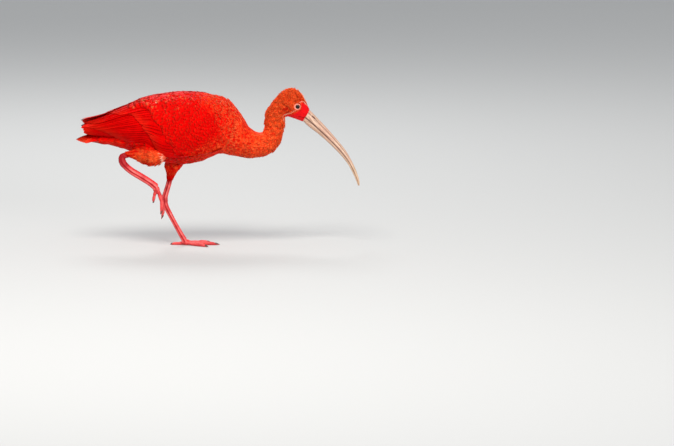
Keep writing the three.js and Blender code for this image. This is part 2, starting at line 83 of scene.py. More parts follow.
# Name, place, point it is turned to, diameter, power in watts and tint
LIGHTS = [
    ("key", (-0.3, -1.5, 2.2), (0.05, 0, 0.15), 1.2, 52, (1.0, 0.97, 0.93)),
    ("fill", (2.4, -4.4, 1.1), (0.05, 0, 0.14), 2.0, 115, (0.99, 0.98, 0.98)),
    ("back", (-0.3, 1.7, 1.9), (0.05, 0, 0.15), 1.0, 22, (1.0, 1.0, 1.0)),
]


def studio():
    """Camera at the photograph's angle, soft round lights and a plain pale floor."""
    scene = bpy.context.scene
    data = bpy.data.cameras.new("studio_camera")
    data.sensor_width = SENSOR_WIDTH
    data.lens = SENSOR_WIDTH * CAMERA_DISTANCE / VIEW_WIDTH
    data.clip_end = CLIP_END
    camera = new_object("studio_camera", data)
    back = Vector((0, -math.cos(CAMERA_TILT), math.sin(CAMERA_TILT)))
    camera.location = AIM + back * CAMERA_DISTANCE
    camera.rotation_euler = (math.pi / 2 - CAMERA_TILT, 0, 0)
    scene.camera = camera

    scene.view_settings.view_transform = "Standard"
    scene.world = bpy.data.worlds.new("studio_air")
    scene.world.use_nodes = True
    air = scene.world.node_tree.nodes["Background"].inputs
    air["Color"].default_value = AIR_TINT
    air["Strength"].default_value = AIR_STRENGTH
    for name, place, target, size, power, tint in LIGHTS:
        lamp = bpy.data.lights.new(name, "AREA")
        lamp.shape = "DISK"
        lamp.size = size
        lamp.energy = power
        lamp.color = tint
        light = new_object(name, lamp)
        light.location = place
        light.rotation_euler = (Vector(target) - Vector(place)).to_track_quat("-Z", "Y").to_euler()

    corners = [(x * FLOOR_HALF, y * FLOOR_HALF, 0) for x, y in ((-1, -1), (1, -1), (1, 1), (-1, 1))]
    mesh = bpy.data.meshes.new("floor")
    mesh.from_pydata(corners, [], [(0, 1, 2, 3)])
    floor = new_object("floor", mesh, PAPER)


# Node trees

class Nodes:
    """A node tree, with a short way to add each thing that a finish or a sowing needs."""

    def __init__(self, tree):
        self.tree = tree

    def join(self, value, socket):
        """Gives an input a value, a colour of three numbers or another node's socket."""
        if isinstance(value, bpy.types.NodeSocket):
            self.tree.links.new(value, socket)
        elif socket.type == "RGBA":
            socket.default_value = (*value, 1.0)
        else:
            socket.default_value = value

    def node(self, kind, inputs=None, **settings):
        node = self.tree.nodes.new(kind)
        for key, value in settings.items():
            setattr(node, key, value)
        for key, value in (inputs or {}).items():
            self.join(value, node.inputs[key])
        return node

    def add(self, kind, inputs=None, out=0, **settings):
        """Adds a node, its inputs given by name or number, and returns one of its outputs."""
        return self.node(kind, inputs, **settings).outputs[out]

    def math(self, operation, a, b=0.0, c=0.0):
        return self.add("ShaderNodeMath", {0: a, 1: b, 2: c}, operation=operation)

    def times(self, a, b):
        return self.math("MULTIPLY", a, b)

    def vector(self, x, y, z=0.0):
        return self.add("ShaderNodeCombineXYZ", {0: x, 1: y, 2: z})

    def between(self, value, low, high, to_low=0.0, to_high=1.0, kind="SMOOTHSTEP"):
        """Brings a value from one range to another and stops at the ends."""
        return self.add("ShaderNodeMapRange", {
            "Value": value, "From Min": low, "From Max": high, "To Min": to_low, "To Max": to_high,
        }, interpolation_type=kind)

    def attribute(self, name):
        return self.add("ShaderNodeAttribute", out="Fac", attribute_name=name)

    def noise(self, scale, detail=3.0, roughness=0.5, place=None):
        return self.add("ShaderNodeTexNoise", {
            "Vector": place or self.add("ShaderNodeTexCoord", out="Object"),
            "Scale": scale, "Detail": detail, "Roughness": roughness,
        }, out="Fac")

    def layers(self, colour, *tints):
        """A colour with others laid over it in turn, each given as its share and itself."""
        for share, tint in tints:
            colour = self.add("ShaderNodeMix", {0: share, 6: colour, 7: tint}, out=2, data_type="RGBA")
        return colour

    def wander(self, value, low, high, pair):
        """A colour that goes from the first of a pair to the second as the value rises."""
        return self.layers(pair[0], (self.between(value, low, high), pair[1]))

    def bump(self, height, depth, strength):
        """Relief of a real depth in metres."""
        return self.add("ShaderNodeBump", {"Strength": strength, "Distance": depth, "Height": height})

    def named(self, name, kind="FLOAT"):
        return self.add("GeometryNodeInputNamedAttribute", {"Name": name}, "Attribute", data_type=kind)

    def stored(self, geometry, name, value, kind="FLOAT", domain="POINT"):
        inputs = {"Geometry": geometry, "Name": name, "Value": value}
        return self.add("GeometryNodeStoreNamedAttribute", inputs, data_type=kind, domain=domain)

    def chance(self, low, high, seed):
        """A number for each point, anywhere between two others."""
        return self.add("FunctionNodeRandomValue", {2: low, 3: high, "Seed": seed}, 1, data_type="FLOAT")


# Finishes

SCARLET = (0.63, 0.0004, 0.0003)
SCARLET_DEEP = (0.34, 0.0006, 0.0005)
ORANGE_RED = (0.98, 0.098, 0.016)
ORANGE_TIP = (1.0, 0.31, 0.10)
PALE_TIP = (1.0, 0.56, 0.40)
INK = (0.012, 0.008, 0.010)
BARE_CRIMSON = ((0.66, 0.001, 0.003), (0.82, 0.009, 0.013))
CRIMSON_FOLD = (0.32, 0.001, 0.003)
BARE_PINK = ((0.70, 0.16, 0.11), (0.86, 0.42, 0.34))
GAPE_SHADE = (0.06, 0.004, 0.004)
LID_PINK = ((0.60, 0.24, 0.20), (0.86, 0.55, 0.46))
IRIS_BROWN = ((0.016, 0.004, 0.002), (0.060, 0.018, 0.008))
IRIS_EDGE = (0.015, 0.006, 0.005)
PUPIL_BLACK = (0.002, 0.002, 0.002)
HORN_STREAKS = ((0.36, 0.205, 0.13), (0.66, 0.44, 0.315))
HORN_CLOUD = (0.58, 0.27, 0.20)
HORN_BASE = (0.72, 0.26, 0.21)
HORN_TIP = (0.68, 0.47, 0.26)
HORN_HOLLOW_SHADE = (0.09, 0.022, 0.016)
LEG_PINK = ((0.60, 0.012, 0.022), (0.83, 0.062, 0.060))
LEG_GRAIN = (0.92, 0.27, 0.22)
LEG_SEAM = (0.34, 0.012, 0.018)
LEG_HIGHLIGHT = (0.92, 0.24, 0.215)
LEG_SHADE = (0.30, 0.003, 0.008)
CLAW_BROWN = ((0.035, 0.018, 0.014), (0.11, 0.06, 0.045))
PAPER_GREY = ((0.53, 0.53, 0.52), (0.57, 0.57, 0.56))

BARB_SPACING = 0.00045
SKIN_TONE = 0.35
# Radius of pupil and iris, and how far their edges fade to each side
PUPIL = (0.0020, 0.0002)
IRIS = (0.0039, 0.0003)
# Streaks of the horn along the bill and round it
HORN_STRETCH = (14.0, 16.0)


def paper_look(n):
    """The studio's pale floor."""
    return {"Base Color": n.wander(n.noise(900.0, 2.0), 0.3, 0.7, PAPER_GREY), "Roughness": 0.9}


def plumage_colour(n, warmth, tone):
    """The plumage's red at a place: scarlet behind, orange-red in front, mottled where they meet."""
    patches = n.between(n.noise(210.0), 0.36, 0.64, -0.5, 0.5)
    meeting = n.times(warmth, n.math("SUBTRACT", 1.0, warmth))
    share = n.math("MULTIPLY_ADD", n.times(meeting, 2.2), patches, warmth)
    speckle = n.between(n.noise(520.0, 2.0), 0.52, 0.66)
    shade = n.between(n.noise(600.0, 2.0), 0.36, 0.50, 0.60, 0.0)
    red = n.layers(
        SCARLET,
        (n.between(share, 0.0, 1.0, kind="LINEAR"), ORANGE_RED),
        (n.times(n.times(speckle, share), 0.5), ORANGE_TIP),
        (n.times(shade, share), SCARLET),
    )
    mottle = n.between(n.noise(90.0, 4.0), 0.35, 0.7, 0.90, 1.08)
    value = n.times(mottle, n.between(tone, 0.0, 1.0, 0.80, 1.16, kind="LINEAR"))
    return n.add("ShaderNodeHueSaturation", {"Value": value, "Color": red})


def feather_look(n):
    """Feathers: darker at root and shaft, paler at the rim, where some pale tips are painted highlights,
    with barbs, and ink at some tips.
    """
    along, rim = n.attribute("along"), n.attribute("rim")
    edge = n.math("ABSOLUTE", n.attribute("across"))
    tip_start = n.between(rim, 0.75, 1.0, 0.70, 0.25)
    tip = n.between(n.math("MULTIPLY_ADD", edge, 0.05, along), tip_start, 1.0)
    outwards = n.times(edge, n.attribute("half"))
    barb = n.math("SUBTRACT", n.times(along, n.attribute("reach")), outwards)
    barbs = n.math("SINE", n.times(barb, 2 * math.pi / BARB_SPACING))
    red = n.layers(
        # warmth also carries the painted pool of light on the raised thigh
        plumage_colour(n, n.attribute("warmth"), n.attribute("tone")),
        (n.between(along, 0.0, 0.4, 0.10, 0.0), SCARLET_DEEP),
        # pale tips, in places painted highlights on the forehead, the knee, the raised thigh and high on
        # the wing
        (n.times(tip, rim), n.wander(rim, 0.75, 1.0, (ORANGE_TIP, PALE_TIP))),
        (n.between(edge, 0.03, 0.09, 0.10, 0.0), SCARLET_DEEP),
        (n.between(barbs, -1.0, 1.0, 0.0, 0.16), SCARLET_DEEP),
        (n.attribute("ink"), INK),
    )
    return {"Base Color": red, "Roughness": 0.52, "Specular IOR Level": 0.07,
            "Specular Tint": (1.0, 0.20, 0.16), "Normal": n.bump(barbs, 0.00003, 0.5)}


def skin_look(n):
    """The skin: the coat's own red under the feathers, crimson or pale pink and wrinkled where bare."""
    wrinkle, folds = n.noise(1500.0, 6.0, 0.7), n.noise(420.0, 4.0)
    flesh = n.layers(n.wander(wrinkle, 0.35, 0.7, BARE_CRIMSON),
                     (n.between(folds, 0.45, 0.7, 0.0, 0.5), CRIMSON_FOLD))
    red = n.layers(
        plumage_colour(n, n.attribute("warmth"), SKIN_TONE),
        (n.attribute("bare"), flesh),
        (n.attribute("pale"), n.wander(wrinkle, 0.3, 0.65, BARE_PINK)),
        (n.attribute("pit"), GAPE_SHADE),
    )
    relief = n.bump(n.math("ADD", wrinkle, folds), 0.0003, 0.5)
    return {"Base Color": red, "Roughness": 0.45, "Specular IOR Level": 0.12,
            "Specular Tint": (1.0, 0.45, 0.42), "Normal": relief}


def lid_look(n):
    """Pale pink bare skin round the eye, in fine folds."""
    folds = n.noise(1600.0, 4.0)
    return {"Base Color": n.wander(folds, 0.35, 0.65, LID_PINK), "Roughness": 0.42,
            "Normal": n.bump(folds, 0.00015, 0.7)}


def eye_look(n):
    """Black pupil, dark brown iris and a wet surface; 'ring' is the distance from the eye's axis."""
    ring = n.attribute("ring")
    tint = n.layers(
        n.wander(n.noise(1500.0), 0.35, 0.65, IRIS_BROWN),
        (n.between(ring, PUPIL[0] - PUPIL[1], PUPIL[0] + PUPIL[1], 1.0, 0.0), PUPIL_BLACK),
        (n.between(ring, IRIS[0] - IRIS[1], IRIS[0] + IRIS[1]), IRIS_EDGE),
    )
    return {"Base Color": tint, "Roughness": 0.06, "Specular IOR Level": 0.22}


def bill_look(n):
    """Pale pinkish horn, streaked lengthwise, creamier to the tip, with painted shade in nostrils, groove,
    gape and inside.
    """
    along = n.attribute("along")
    stretched = (n.times(value, by) for value, by in zip((along, n.attribute("across")), HORN_STRETCH))
    streak = n.noise(1.0, 5.0, 0.6, n.vector(*stretched))
    horn = n.layers(
        n.wander(streak, 0.35, 0.65, HORN_STREAKS),
        (n.between(n.noise(60.0), 0.4, 0.75, 0.0, 0.5), HORN_CLOUD),
        (n.between(along, 0.04, 0.12, 0.6, 0.0), HORN_BASE),
        (n.between(along, 0.45, 1.0, 0.0, 0.55), HORN_TIP),
        (n.attribute("pit"), HORN_HOLLOW_SHADE),
    )
    return {"Base Color": horn, "Roughness": 0.42, "Normal": n.bump(streak, 0.00008, 0.6)}


def leg_look(n):
    """Salmon pink skin in scales, darker in their seams, with painted shade at the heel, under the thigh
    and in the tendon's groove, and painted highlight bands.
    """
    grain = n.noise(1400.0, 5.0)
    pink = n.layers(
        n.wander(n.noise(120.0, 4.0), 0.3, 0.7, LEG_PINK),
        (n.between(grain, 0.45, 0.75, 0.0, 0.4), LEG_GRAIN),
        (n.times(n.attribute("seam"), 0.6), LEG_SEAM),
        # painted highlight bands along the leg
        (n.attribute("light"), LEG_HIGHLIGHT),
        # painted shade at the heel, under the thigh, in the tendon's groove and on the rear side, with
        # uneven mottling
        (n.attribute("dark"), LEG_SHADE),
    )
    return {"Base Color": pink, "Roughness": 0.42, "Specular IOR Level": 0.24,
            "Specular Tint": (1.0, 0.6, 0.55), "Normal": n.bump(grain, 0.00012, 0.6)}


def claw_look(n):
    """Dark brown horn of the claws."""
    streak = n.noise(500.0)
    return {"Base Color": n.wander(streak, 0.3, 0.7, CLAW_BROWN), "Roughness": 0.35,
            "Normal": n.bump(streak, 0.00005, 0.5)}


def finish(name, look):
    """A material; its look gives what goes into the inputs of the one Principled shader."""
    material = bpy.data.materials.new(name)
    material.use_nodes = True
    nodes = Nodes(material.node_tree)
    shader = material.node_tree.nodes["Principled BSDF"]
    for key, value in look(nodes).items():
        nodes.join(value, shader.inputs[key])
    return material


PAPER = finish("pale_paper", paper_look)
FEATHER = finish("scarlet_feather", feather_look)
SKIN = finish("skin_under_feathers", skin_look)
LID = finish("eyelid_skin", lid_look)
EYE = finish("wet_eye", eye_look)
HORN = finish("pink_horn", bill_look)
LEG = finish("leg_scales", leg_look)
CLAW = finish("claw_horn", claw_look)


# Numbers and lines

LINE_FINENESS = 24


def unit(vectors):
    return vectors / np.maximum(np.linalg.norm(vectors, axis=-1, keepdims=True), 1e-12)


def held(value):
    """Kept from nought to one."""
    return np.clip(value, 0, 1)


def ramp(value, nought, one):
    """Rises from the value that counts as nought to the one that counts as one, and is held there."""
    return held((value - nought) / (one - nought))


def fading(distance, reach):
    """One at no distance, falling away softly past a reach."""
    return np.exp(-(distance / reach) ** 2)


def stacked(*columns):
    """Columns of any shapes that go together, as rows of points."""
    return np.stack(np.broadcast_arrays(*columns), -1)


def full_turn(count):
    return np.linspace(0, 2 * math.pi, count, endpoint=False)


def slices(count):
    """The rows of a long table, a few thousand at a time."""
    return [slice(start, min(start + ROWS_AT_ONCE, count)) for start in range(0, count, ROWS_AT_ONCE)]


def blended_curve(rows, count):
    """Rows of a table brought to an even, smooth run of count rows."""
    rows = np.asarray(rows, float)
    place = np.linspace(0, len(rows) - 1, count)
    i = np.minimum(place.astype(int), len(rows) - 2)
    t = (place - i)[:, None]
    padded = np.vstack([2 * rows[0] - rows[1], rows, 2 * rows[-1] - rows[-2]])
    a, b, c, d = padded[i], padded[i + 1], padded[i + 2], padded[i + 3]
    return 0.5 * (2 * b + (c - a) * t + (2 * a - 5 * b + 4 * c - d) * t**2
                  + (3 * b - a - 3 * c + d) * t**3)


def smooth_line(points, step):
    """A smooth line through the points, cut into even steps: places, directions, distances run."""
    fine = blended_curve(points, LINE_FINENESS * (len(points) - 1) + 1)
    run = np.concatenate([[0], np.cumsum(np.linalg.norm(np.diff(fine, axis=0), axis=1))])
    marks = np.linspace(0, run[-1], max(int(run[-1] / step), 2) + 1)
    line = np.column_stack([np.interp(marks, run, fine[:, k]) for k in range(3)])
    return line, unit(np.gradient(line, axis=0)), marks


def to_line(points, line):
    """Distance in the side view to a line of straight pieces."""
    line = np.asarray(line, float)
    gaps = []
    for a, b in zip(line, line[1:]):
        t = held((points - a) @ (b - a) / ((b - a) @ (b - a)))
        gaps.append(np.linalg.norm(points - a - t[:, None] * (b - a), axis=1))
    return np.min(gaps, axis=0)


def inside_outline(points, outline):
    """Signed distance in the side view to a closed outline: positive inside."""
    outline = np.asarray([*outline, outline[0]], float)
    inside = np.zeros(len(points), bool)
    for a, b in zip(outline, outline[1:]):
        crosses = (a[1] > points[:, 1]) != (b[1] > points[:, 1])
        reach = (b[0] - a[0]) * (points[:, 1] - a[1]) / (b[1] - a[1] + 1e-12) + a[0]
        inside ^= crosses & (points[:, 0] < reach)
    return to_line(points, outline) * np.where(inside, 1, -1)


def lumps(points, size, seed):
    """A smooth uneven value about nought at each point, in lumps of a size."""
    random = np.random.default_rng(seed)
    total = np.zeros(len(points))
    for _ in range(14):
        way = unit(random.normal(size=3))
        wave = size * random.uniform(0.8, 1.6)
        total += np.sin(points @ way * 2 * np.pi / wave + random.uniform(0, 6.28))
    return np.clip(total / 3.5, -1, 1)


# Meshes

def new_object(name, data, material=None):
    obj = bpy.data.objects.new(name, data)
    bpy.context.scene.collection.objects.link(obj)
    if material:
        obj.data.materials.append(material)
    return obj


def read(items, field, wide=1, kind=float):
    """A number, or a row of them, for each point, edge, corner or face."""
    values = np.empty(len(items) * wide, kind)
    items.foreach_get(field, values)
    return values.reshape(-1, wide) if wide > 1 else values


def points_of(mesh):
    return read(mesh.vertices, "co", 3) / MM


def set_points(mesh, points):
    mesh.vertices.foreach_set("co", np.asarray(points * MM, np.float32).ravel())
    mesh.update()


def give(mesh, name, values, kind="FLOAT", domain="POINT"):
    """Stores a value for each point, face or corner, or one for all of them."""
    layer = mesh.attributes.get(name) or mesh.attributes.new(name, kind, domain)
    wide = {"FLOAT_VECTOR": (3,), "FLOAT2": (2,)}.get(kind, ())
    values = np.asarray(values, np.int32 if kind == "INT" else np.float32)
    values = np.broadcast_to(values, (len(layer.data), *wide))
    layer.data.foreach_set("vector" if wide else "value", values.ravel())


def rounded(mesh):
    mesh.shade_smooth()
    return mesh


def evaluated(obj):
    """Puts what an object's modifiers make into its own plain mesh."""
    graph = bpy.context.evaluated_depsgraph_get()
    made = bpy.data.meshes.new_from_object(
        obj.evaluated_get(graph), preserve_all_data_layers=True, depsgraph=graph)
    obj.modifiers.clear()
    old = obj.data
    obj.data = made
    bpy.data.meshes.remove(old)
    return obj


def placed_piece(obj, slot, *nodes):
    """A finished piece rides on the one body and stands for the named solids, which are hidden."""
    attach(obj, "root")
    if nodes:
        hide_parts(*nodes)


def grid_mesh(name, rings, looped=False):
    """A surface through closed rings of points, the last joined to the first or both ends fanned."""
    rings = np.asarray(rings) * MM
    index = np.arange(rings[..., 0].size).reshape(rings.shape[:2])
    ahead = np.vstack([index, index[:1]]) if looped else index
    beside = np.roll(ahead, -1, axis=1)
    faces = np.stack([ahead[:-1], beside[:-1], beside[1:], ahead[1:]], -1).reshape(-1, 4).tolist()
    points = rings.reshape(-1, 3).tolist()
    if not looped:
        for end in (0, -1):
            faces += [(a, b, len(points)) for a, b in zip(index[end].tolist(), beside[end].tolist())]
            points.append(rings[end].mean(0).tolist())
    mesh = bpy.data.meshes.new(name)
    mesh.from_pydata(points, [], faces)
    facing = bmesh.new()
    facing.from_mesh(mesh)
    bmesh.ops.recalc_face_normals(facing, faces=facing.faces)
    facing.to_mesh(mesh)
    facing.free()
    return rounded(mesh)


def solids_copy(nodes, swell=0.0):
    """Copies of the named solids in one mesh, each swollen a little so that they run together."""
    whole = bmesh.new()
    for name in nodes:
        part = bmesh.new()
        part.from_mesh(frame["nodes"][name].data)
        bmesh.ops.remove_doubles(part, verts=part.verts, dist=1e-6)
        part.normal_update()
        for vertex in part.verts:
            vertex.co += vertex.normal * swell * MM
        copy = bpy.data.meshes.new("copy")
        part.to_mesh(copy)
        part.free()
        whole.from_mesh(copy)
        bpy.data.meshes.remove(copy)
    mesh = bpy.data.meshes.new("joined_solids")
    whole.to_mesh(mesh)
    whole.free()
    return mesh


def one_surface(name, nodes, voxel, swell, rounds):
    """The named solids as one even, softened surface."""
    obj = new_object(name, solids_copy(nodes, swell))
    even = obj.modifiers.new("even", "REMESH")
    even.mode = "VOXEL"
    even.voxel_size = voxel * MM
    soft = obj.modifiers.new("soft", "SMOOTH")
    soft.factor = 0.5
    soft.iterations = rounds
    evaluated(obj)
    obj.data.materials.clear()
    rounded(obj.data)
    return obj


def search_tree(mesh):
    return BVHTree.FromPolygons([v.co for v in mesh.vertices], [tuple(f.vertices) for f in mesh.polygons])


def gap_to(nodes, points):
    """Distance from each point to the nearest of the named solids."""
    tree = search_tree(solids_copy(nodes))
    return np.array([tree.find_nearest(Vector(p))[3] for p in points * MM])


def soften(mesh, values, rounds):
    """Averages values along the mesh's edges."""
    a, b = read(mesh.edges, "vertices", 2, np.int32).T
    count = np.bincount(np.concatenate([a, b]), minlength=len(mesh.vertices))
    count = np.maximum(count, 1).reshape(-1, *([1] * (values.ndim - 1)))
    for _ in range(rounds):
        total = np.zeros_like(values)
        np.add.at(total, a, values[b])
        np.add.at(total, b, values[a])
        values = 0.5 * values + 0.5 * total / count
    return values


# Lie of the coat

# The body's middle line from the bill's root to the tail's, and those of the thighs
BODY_LINE = [(206, 0, 221), (192, 0, 232), (176, 0, 239), (161, 0, 236), (152, 0, 224), (149, 0, 209),
             (146, 0, 194), (137, 0, 180), (120, 0, 172), (98, 0, 178), (60, 0, 196), (0, 0, 196),
             (-60, 0, 194), (-128, 0, 185)]
THIGH_LINES = {
    "thigh_left": [(6, 22, 168), (-18, 20, 140), (-23, 15, 122), (-27, 12, 108)],
    "thigh_right": [(-22, -26, 154), (-55, -29, 153), (-84, -28.6, 156.5), (-100, -28.5, 157.5)],
}
LINE_STEP = 2.0
LINE_SPREAD = 10.0
FLESH = ["torso", "neck_lower", "neck_middle", "neck_upper", "head", "thigh_left", "thigh_right"]
SKIN_VOXEL = 1.4
SKIN_SWELL = 0.4
SKIN_ROUNDS = 24

# Regions of the skin in the order of their numbers: feather, its spacing and the slot
COATS = {
    "head": ("strand", 0.56, "neck_plumage"),
    "upper_neck": ("strand", 0.70, "neck_plumage"),
    "lower_neck": ("lancet", 1.05, "neck_plumage"),
    "breast": ("soft", 2.0, "body_plumage"),
    "belly": ("soft", 2.6, "body_plumage"),
    "rump": ("soft", 2.5, "body_plumage"),
    "thigh_left": ("lancet", 0.95, "body_plumage"),
    "thigh_right": ("lancet", 0.95, "neck_plumage"),
}
REGIONS = list(COATS)
# Where head, upper neck, lower neck and breast end along the body's line, and x where the rump starts
REGION_ENDS = [52, 84, 116, 170]
RUMP_START = -88

# By distance from the bill's root along the body's line: feathers, depth of the coat, share of
# orange and how far the tips lift in degrees
STATION = [0, 20, 45, 70, 95, 120, 150, 200, 260, 340]
BODY_COAT = {
    "length": [1.8, 3.8, 5.2, 6.2, 7.6, 9.5, 12, 14, 14, 13],
    "width": [0.55, 0.7, 0.85, 1.25, 2.3, 4.4, 6.4, 7.6, 7.6, 7.0],
    "depth": [0.3, 0.8, 1.2, 1.6, 1.9, 2.4, 2.8, 3.0, 3.0, 2.8],
    "warmth": [1.0, 1.0, 1.0, 0.95, 0.82, 0.56, 0.30, 0.15, 0.08, 0.05],
    "lift": [10, 20, 20, 15, 11, 8, 6, 5, 5, 5],
}
# The same down a thigh, each with its own distances
THIGH_COAT = {
    "length": ([0, 30, 70], [14, 12, 9]),
    "width": ([0, 30, 70], [2.6, 1.9, 1.0]),
    "depth": ([0, 30, 70], [2.2, 1.6, 0.8]),
    "lift": ([0, 40, 80], [4.5, 4.0, 2.0]),
}
THIGH_WARMTH = {"thigh_left": 0.12, "thigh_right": 0.14}

# Seen from the side, as x and z: edge of the scarlet of wing and back, and the bare crimson skin
SCARLET_EDGE = [(-240, 300), (36, 300), (44, 250), (65, 228), (78, 206), (72, 184), (50, 168), (22, 151),
                (6, 128), (-60, 118), (-240, 118)]
CRIMSON_SKIN = [(168, 218.5), (168.5, 221.4), (178.9, 221.6), (186.3, 226), (189.5, 228.2), (194, 231.5),
                (195, 236), (194, 241), (196.7, 242.2), (202.4, 238), (207, 233), (216, 224), (208, 203),
                (195, 208), (186, 210), (176.5, 212.2), (169.5, 215.5)]
# The pale line over the face, which also carries a painted highlight, the gape, the painted highlight
# along the rim of the raised knee, and the ear
PALE_LINE = [(191.8, 242.4), (195.2, 244.0), (198.6, 243.2), (202, 239.6), (205.2, 234.6), (207.6, 229)]
GAPE = [(203.0, 214.6), (189.5, 218.8)]
KNEE_HIGHLIGHT_LINE = [(-32.0, 160.0), (-29.0, 150.0), (-37.0, 139.0), (-54.0, 134.0)]
EAR = (171.0, 231.5)
# Middle and reach of the painted pool of light on the raised thigh, where it is turned orange and paler
THIGH_LIGHT_POOL = (-54.0, 151.0)
THIGH_LIGHT_POOL_REACH = (25.0, 8.0)
EYE_CENTRE = (188.0, 11.4, 235.5)
EYE_RADIUS = 5.0


def nearest_line(points, line):
    """Direction of a line near each point, distance run along it and angle round it."""
    places, ways, marks = smooth_line(line, LINE_STEP)
    direction, run, turn = np.empty_like(points), np.empty(len(points)), np.empty(len(points))
    for part in slices(len(points)):
        far = ((points[part, None] - places) ** 2).sum(-1)
        weight = np.exp(-(far - far.min(1, keepdims=True)) / (2 * LINE_SPREAD ** 2))
        weight /= weight.sum(1, keepdims=True)
        direction[part] = unit(weight @ ways)
        upward = unit(np.cross(direction[part], (0.0, 1.0, 0.0)))
        off = points[part] - weight @ places
        run[part] = weight @ marks
        turn[part] = np.arctan2(off[:, 1], (off * upward).sum(1))
    return direction, run, turn


def coat_at(points):
    """What the lines and tables say of the coat at each point of the skin."""
    direction, run, turn = nearest_line(points, BODY_LINE)
    share = run.copy()
    coat = {key: np.interp(run, STATION, row) for key, row in BODY_COAT.items()}
    region = np.digitize(run, REGION_ENDS)
    region[(region == REGIONS.index("belly")) & (points[:, 0] < RUMP_START)] = REGIONS.index("rump")
    on_thigh = np.zeros(len(points))
    to_body = gap_to([name for name in FLESH if name not in THIGH_LINES], points)
    for name, line in THIGH_LINES.items():
        mine = gap_to([name], points) < to_body
        direction[mine], share[mine], turn[mine] = nearest_line(points[mine], line)
        region[mine] = REGIONS.index(name)
        on_thigh[mine] = 1
        for key, table in THIGH_COAT.items():
            coat[key][mine] = np.interp(share[mine], *table)
        coat["warmth"][mine] = THIGH_WARMTH[name]
    return direction, run, turn, share, region, on_thigh, coat


# Folded wing form

# x, top, bottom and half width of the two folded wings together
FOLD = np.array([
    (-182, 201, 189, 13), (-168, 206, 186, 16), (-144, 214.5, 182.5, 21), (-119, 226, 177.5, 27.5),
    (-94, 237.5, 170, 35), (-60, 250.5, 160, 44), (-35, 256, 141, 49), (0, 260, 136, 51.5),
    (34, 257.5, 142, 50), (60, 247, 152, 42), (74, 232, 160, 32),
])
LEFT_WING_LIFT = 9.0
LIFT_FROM, LIFT_TO = -60.0, -180.0


def fold_at(x):
    """Top, bottom and half width of the folded wings at x, by a smooth curve through FOLD."""
    stops, values = FOLD[:, 0], FOLD[:, 1:]
    gaps, rises = np.diff(stops)[:, None], np.diff(values, axis=0)
    slope = np.vstack([rises[:1] / gaps[:1], (rises[1:] + rises[:-1]) / (gaps[1:] + gaps[:-1]),
                       rises[-1:] / gaps[-1:]])
    i = np.clip(np.searchsorted(stops, x) - 1, 0, len(stops) - 2)
    span = (stops[i + 1] - stops[i])[..., None]
    t = held((x - stops[i])[..., None] / span)
    return ((2 * t**3 - 3 * t**2 + 1) * values[i] + (t**3 - 2 * t**2 + t) * span * slope[i]
            + (3 * t**2 - 2 * t**3) * values[i + 1] + (t**3 - t**2) * span * slope[i + 1])


def on_fold(flank, x, degrees, inwards=0.0):
    """Points on the folded wing: x along the body, degrees round from flank to back."""
    x, degrees = np.broadcast_arrays(np.asarray(x, float), np.asarray(degrees, float))
    top, low, half = np.moveaxis(fold_at(x), -1, 0)
    angle = np.radians(degrees)
    lift = LEFT_WING_LIFT * ramp(x, LIFT_FROM, LIFT_TO) ** 2 if flank > 0 else 0
    return stacked(
        x,
        flank * np.maximum(half - inwards, 1) * np.cos(angle),
        (top + low) / 2 + np.maximum((top - low) / 2 - inwards, 1) * np.sin(angle) + lift,
    )


def fold_normal(flank, x, degrees):
    here = on_fold(flank, x, degrees)
    along = on_fold(flank, x + 1.0, degrees) - here
    round_it = on_fold(flank, x, degrees + 2.0) - here
    return -unit(np.cross(along, round_it) * flank)


# Skin

# The wing covers the body from WING_REAR to WING_FRONT, above WING_EDGE in degrees
WING_FRONT, WING_REAR, WING_EDGE = 46.0, -150.0, -42.0
HEAD_END = 60.0
FACE_START = (160.0, 204.0)
FACE_ROUNDS = 16
END_CAP_SLOPE = 0.45
BROW_SHIFT = np.array((2.64, 0.0, -3.0))
# Pale rim of the feathers in general, and what each mark adds to it; the marks on the forehead and along
# the knee are painted highlights, and the patch is a painted pool of light on the raised thigh
RIM = 0.34
RIM_MARKS = {"thigh": -0.2, "patch": 0.5, "throat": 0.8, "forehead_highlight": 0.75, "knee_highlight": 0.72, "streaks": 0.25}
# Place and size of a sown feather's patch on the bake's map
MAP_START, MAP_SPAN, TUFT_PATCH = 0.002, 0.994, 0.003
SEAM_ROOM = 1.02


def finer_face(mesh):
    """Divides the skin's faces round the face, where folds and wrinkles are small."""
    work = bmesh.new()
    work.from_mesh(mesh)

    def face_points():
        return [v for v in work.verts if v.co.x > FACE_START[0] * MM and v.co.z > FACE_START[1] * MM]

    near = set(face_points())
    edges = [e for e in work.edges if e.verts[0] in near and e.verts[1] in near]
    bmesh.ops.subdivide_edges(work, edges=edges, cuts=2, use_grid_fill=True)
    fresh = face_points()
    for _ in range(FACE_ROUNDS):
        bmesh.ops.smooth_vert(
            work, verts=fresh, factor=0.5, use_axis_x=True, use_axis_y=True, use_axis_z=True)
    work.to_mesh(mesh)
    work.free()
    rounded(mesh)


def behind_edge(side_view):
    """How far into the scarlet of wing and back each point is."""
    return ramp(inside_outline(side_view, SCARLET_EDGE), -16, 16)


def face_wrinkles(side_view):
    """Uneven folds of the bare skin, as two crossing sets of bent waves."""
    first = np.sin(side_view @ (1.9, 2.6) + 1.3 * np.sin(side_view @ (0.9, -0.7)))
    second = np.sin(side_view @ (-2.2, 4.1) + 1.1 * np.sin(side_view @ (1.7, 0.5)) + 2)
    return first + 0.6 * second


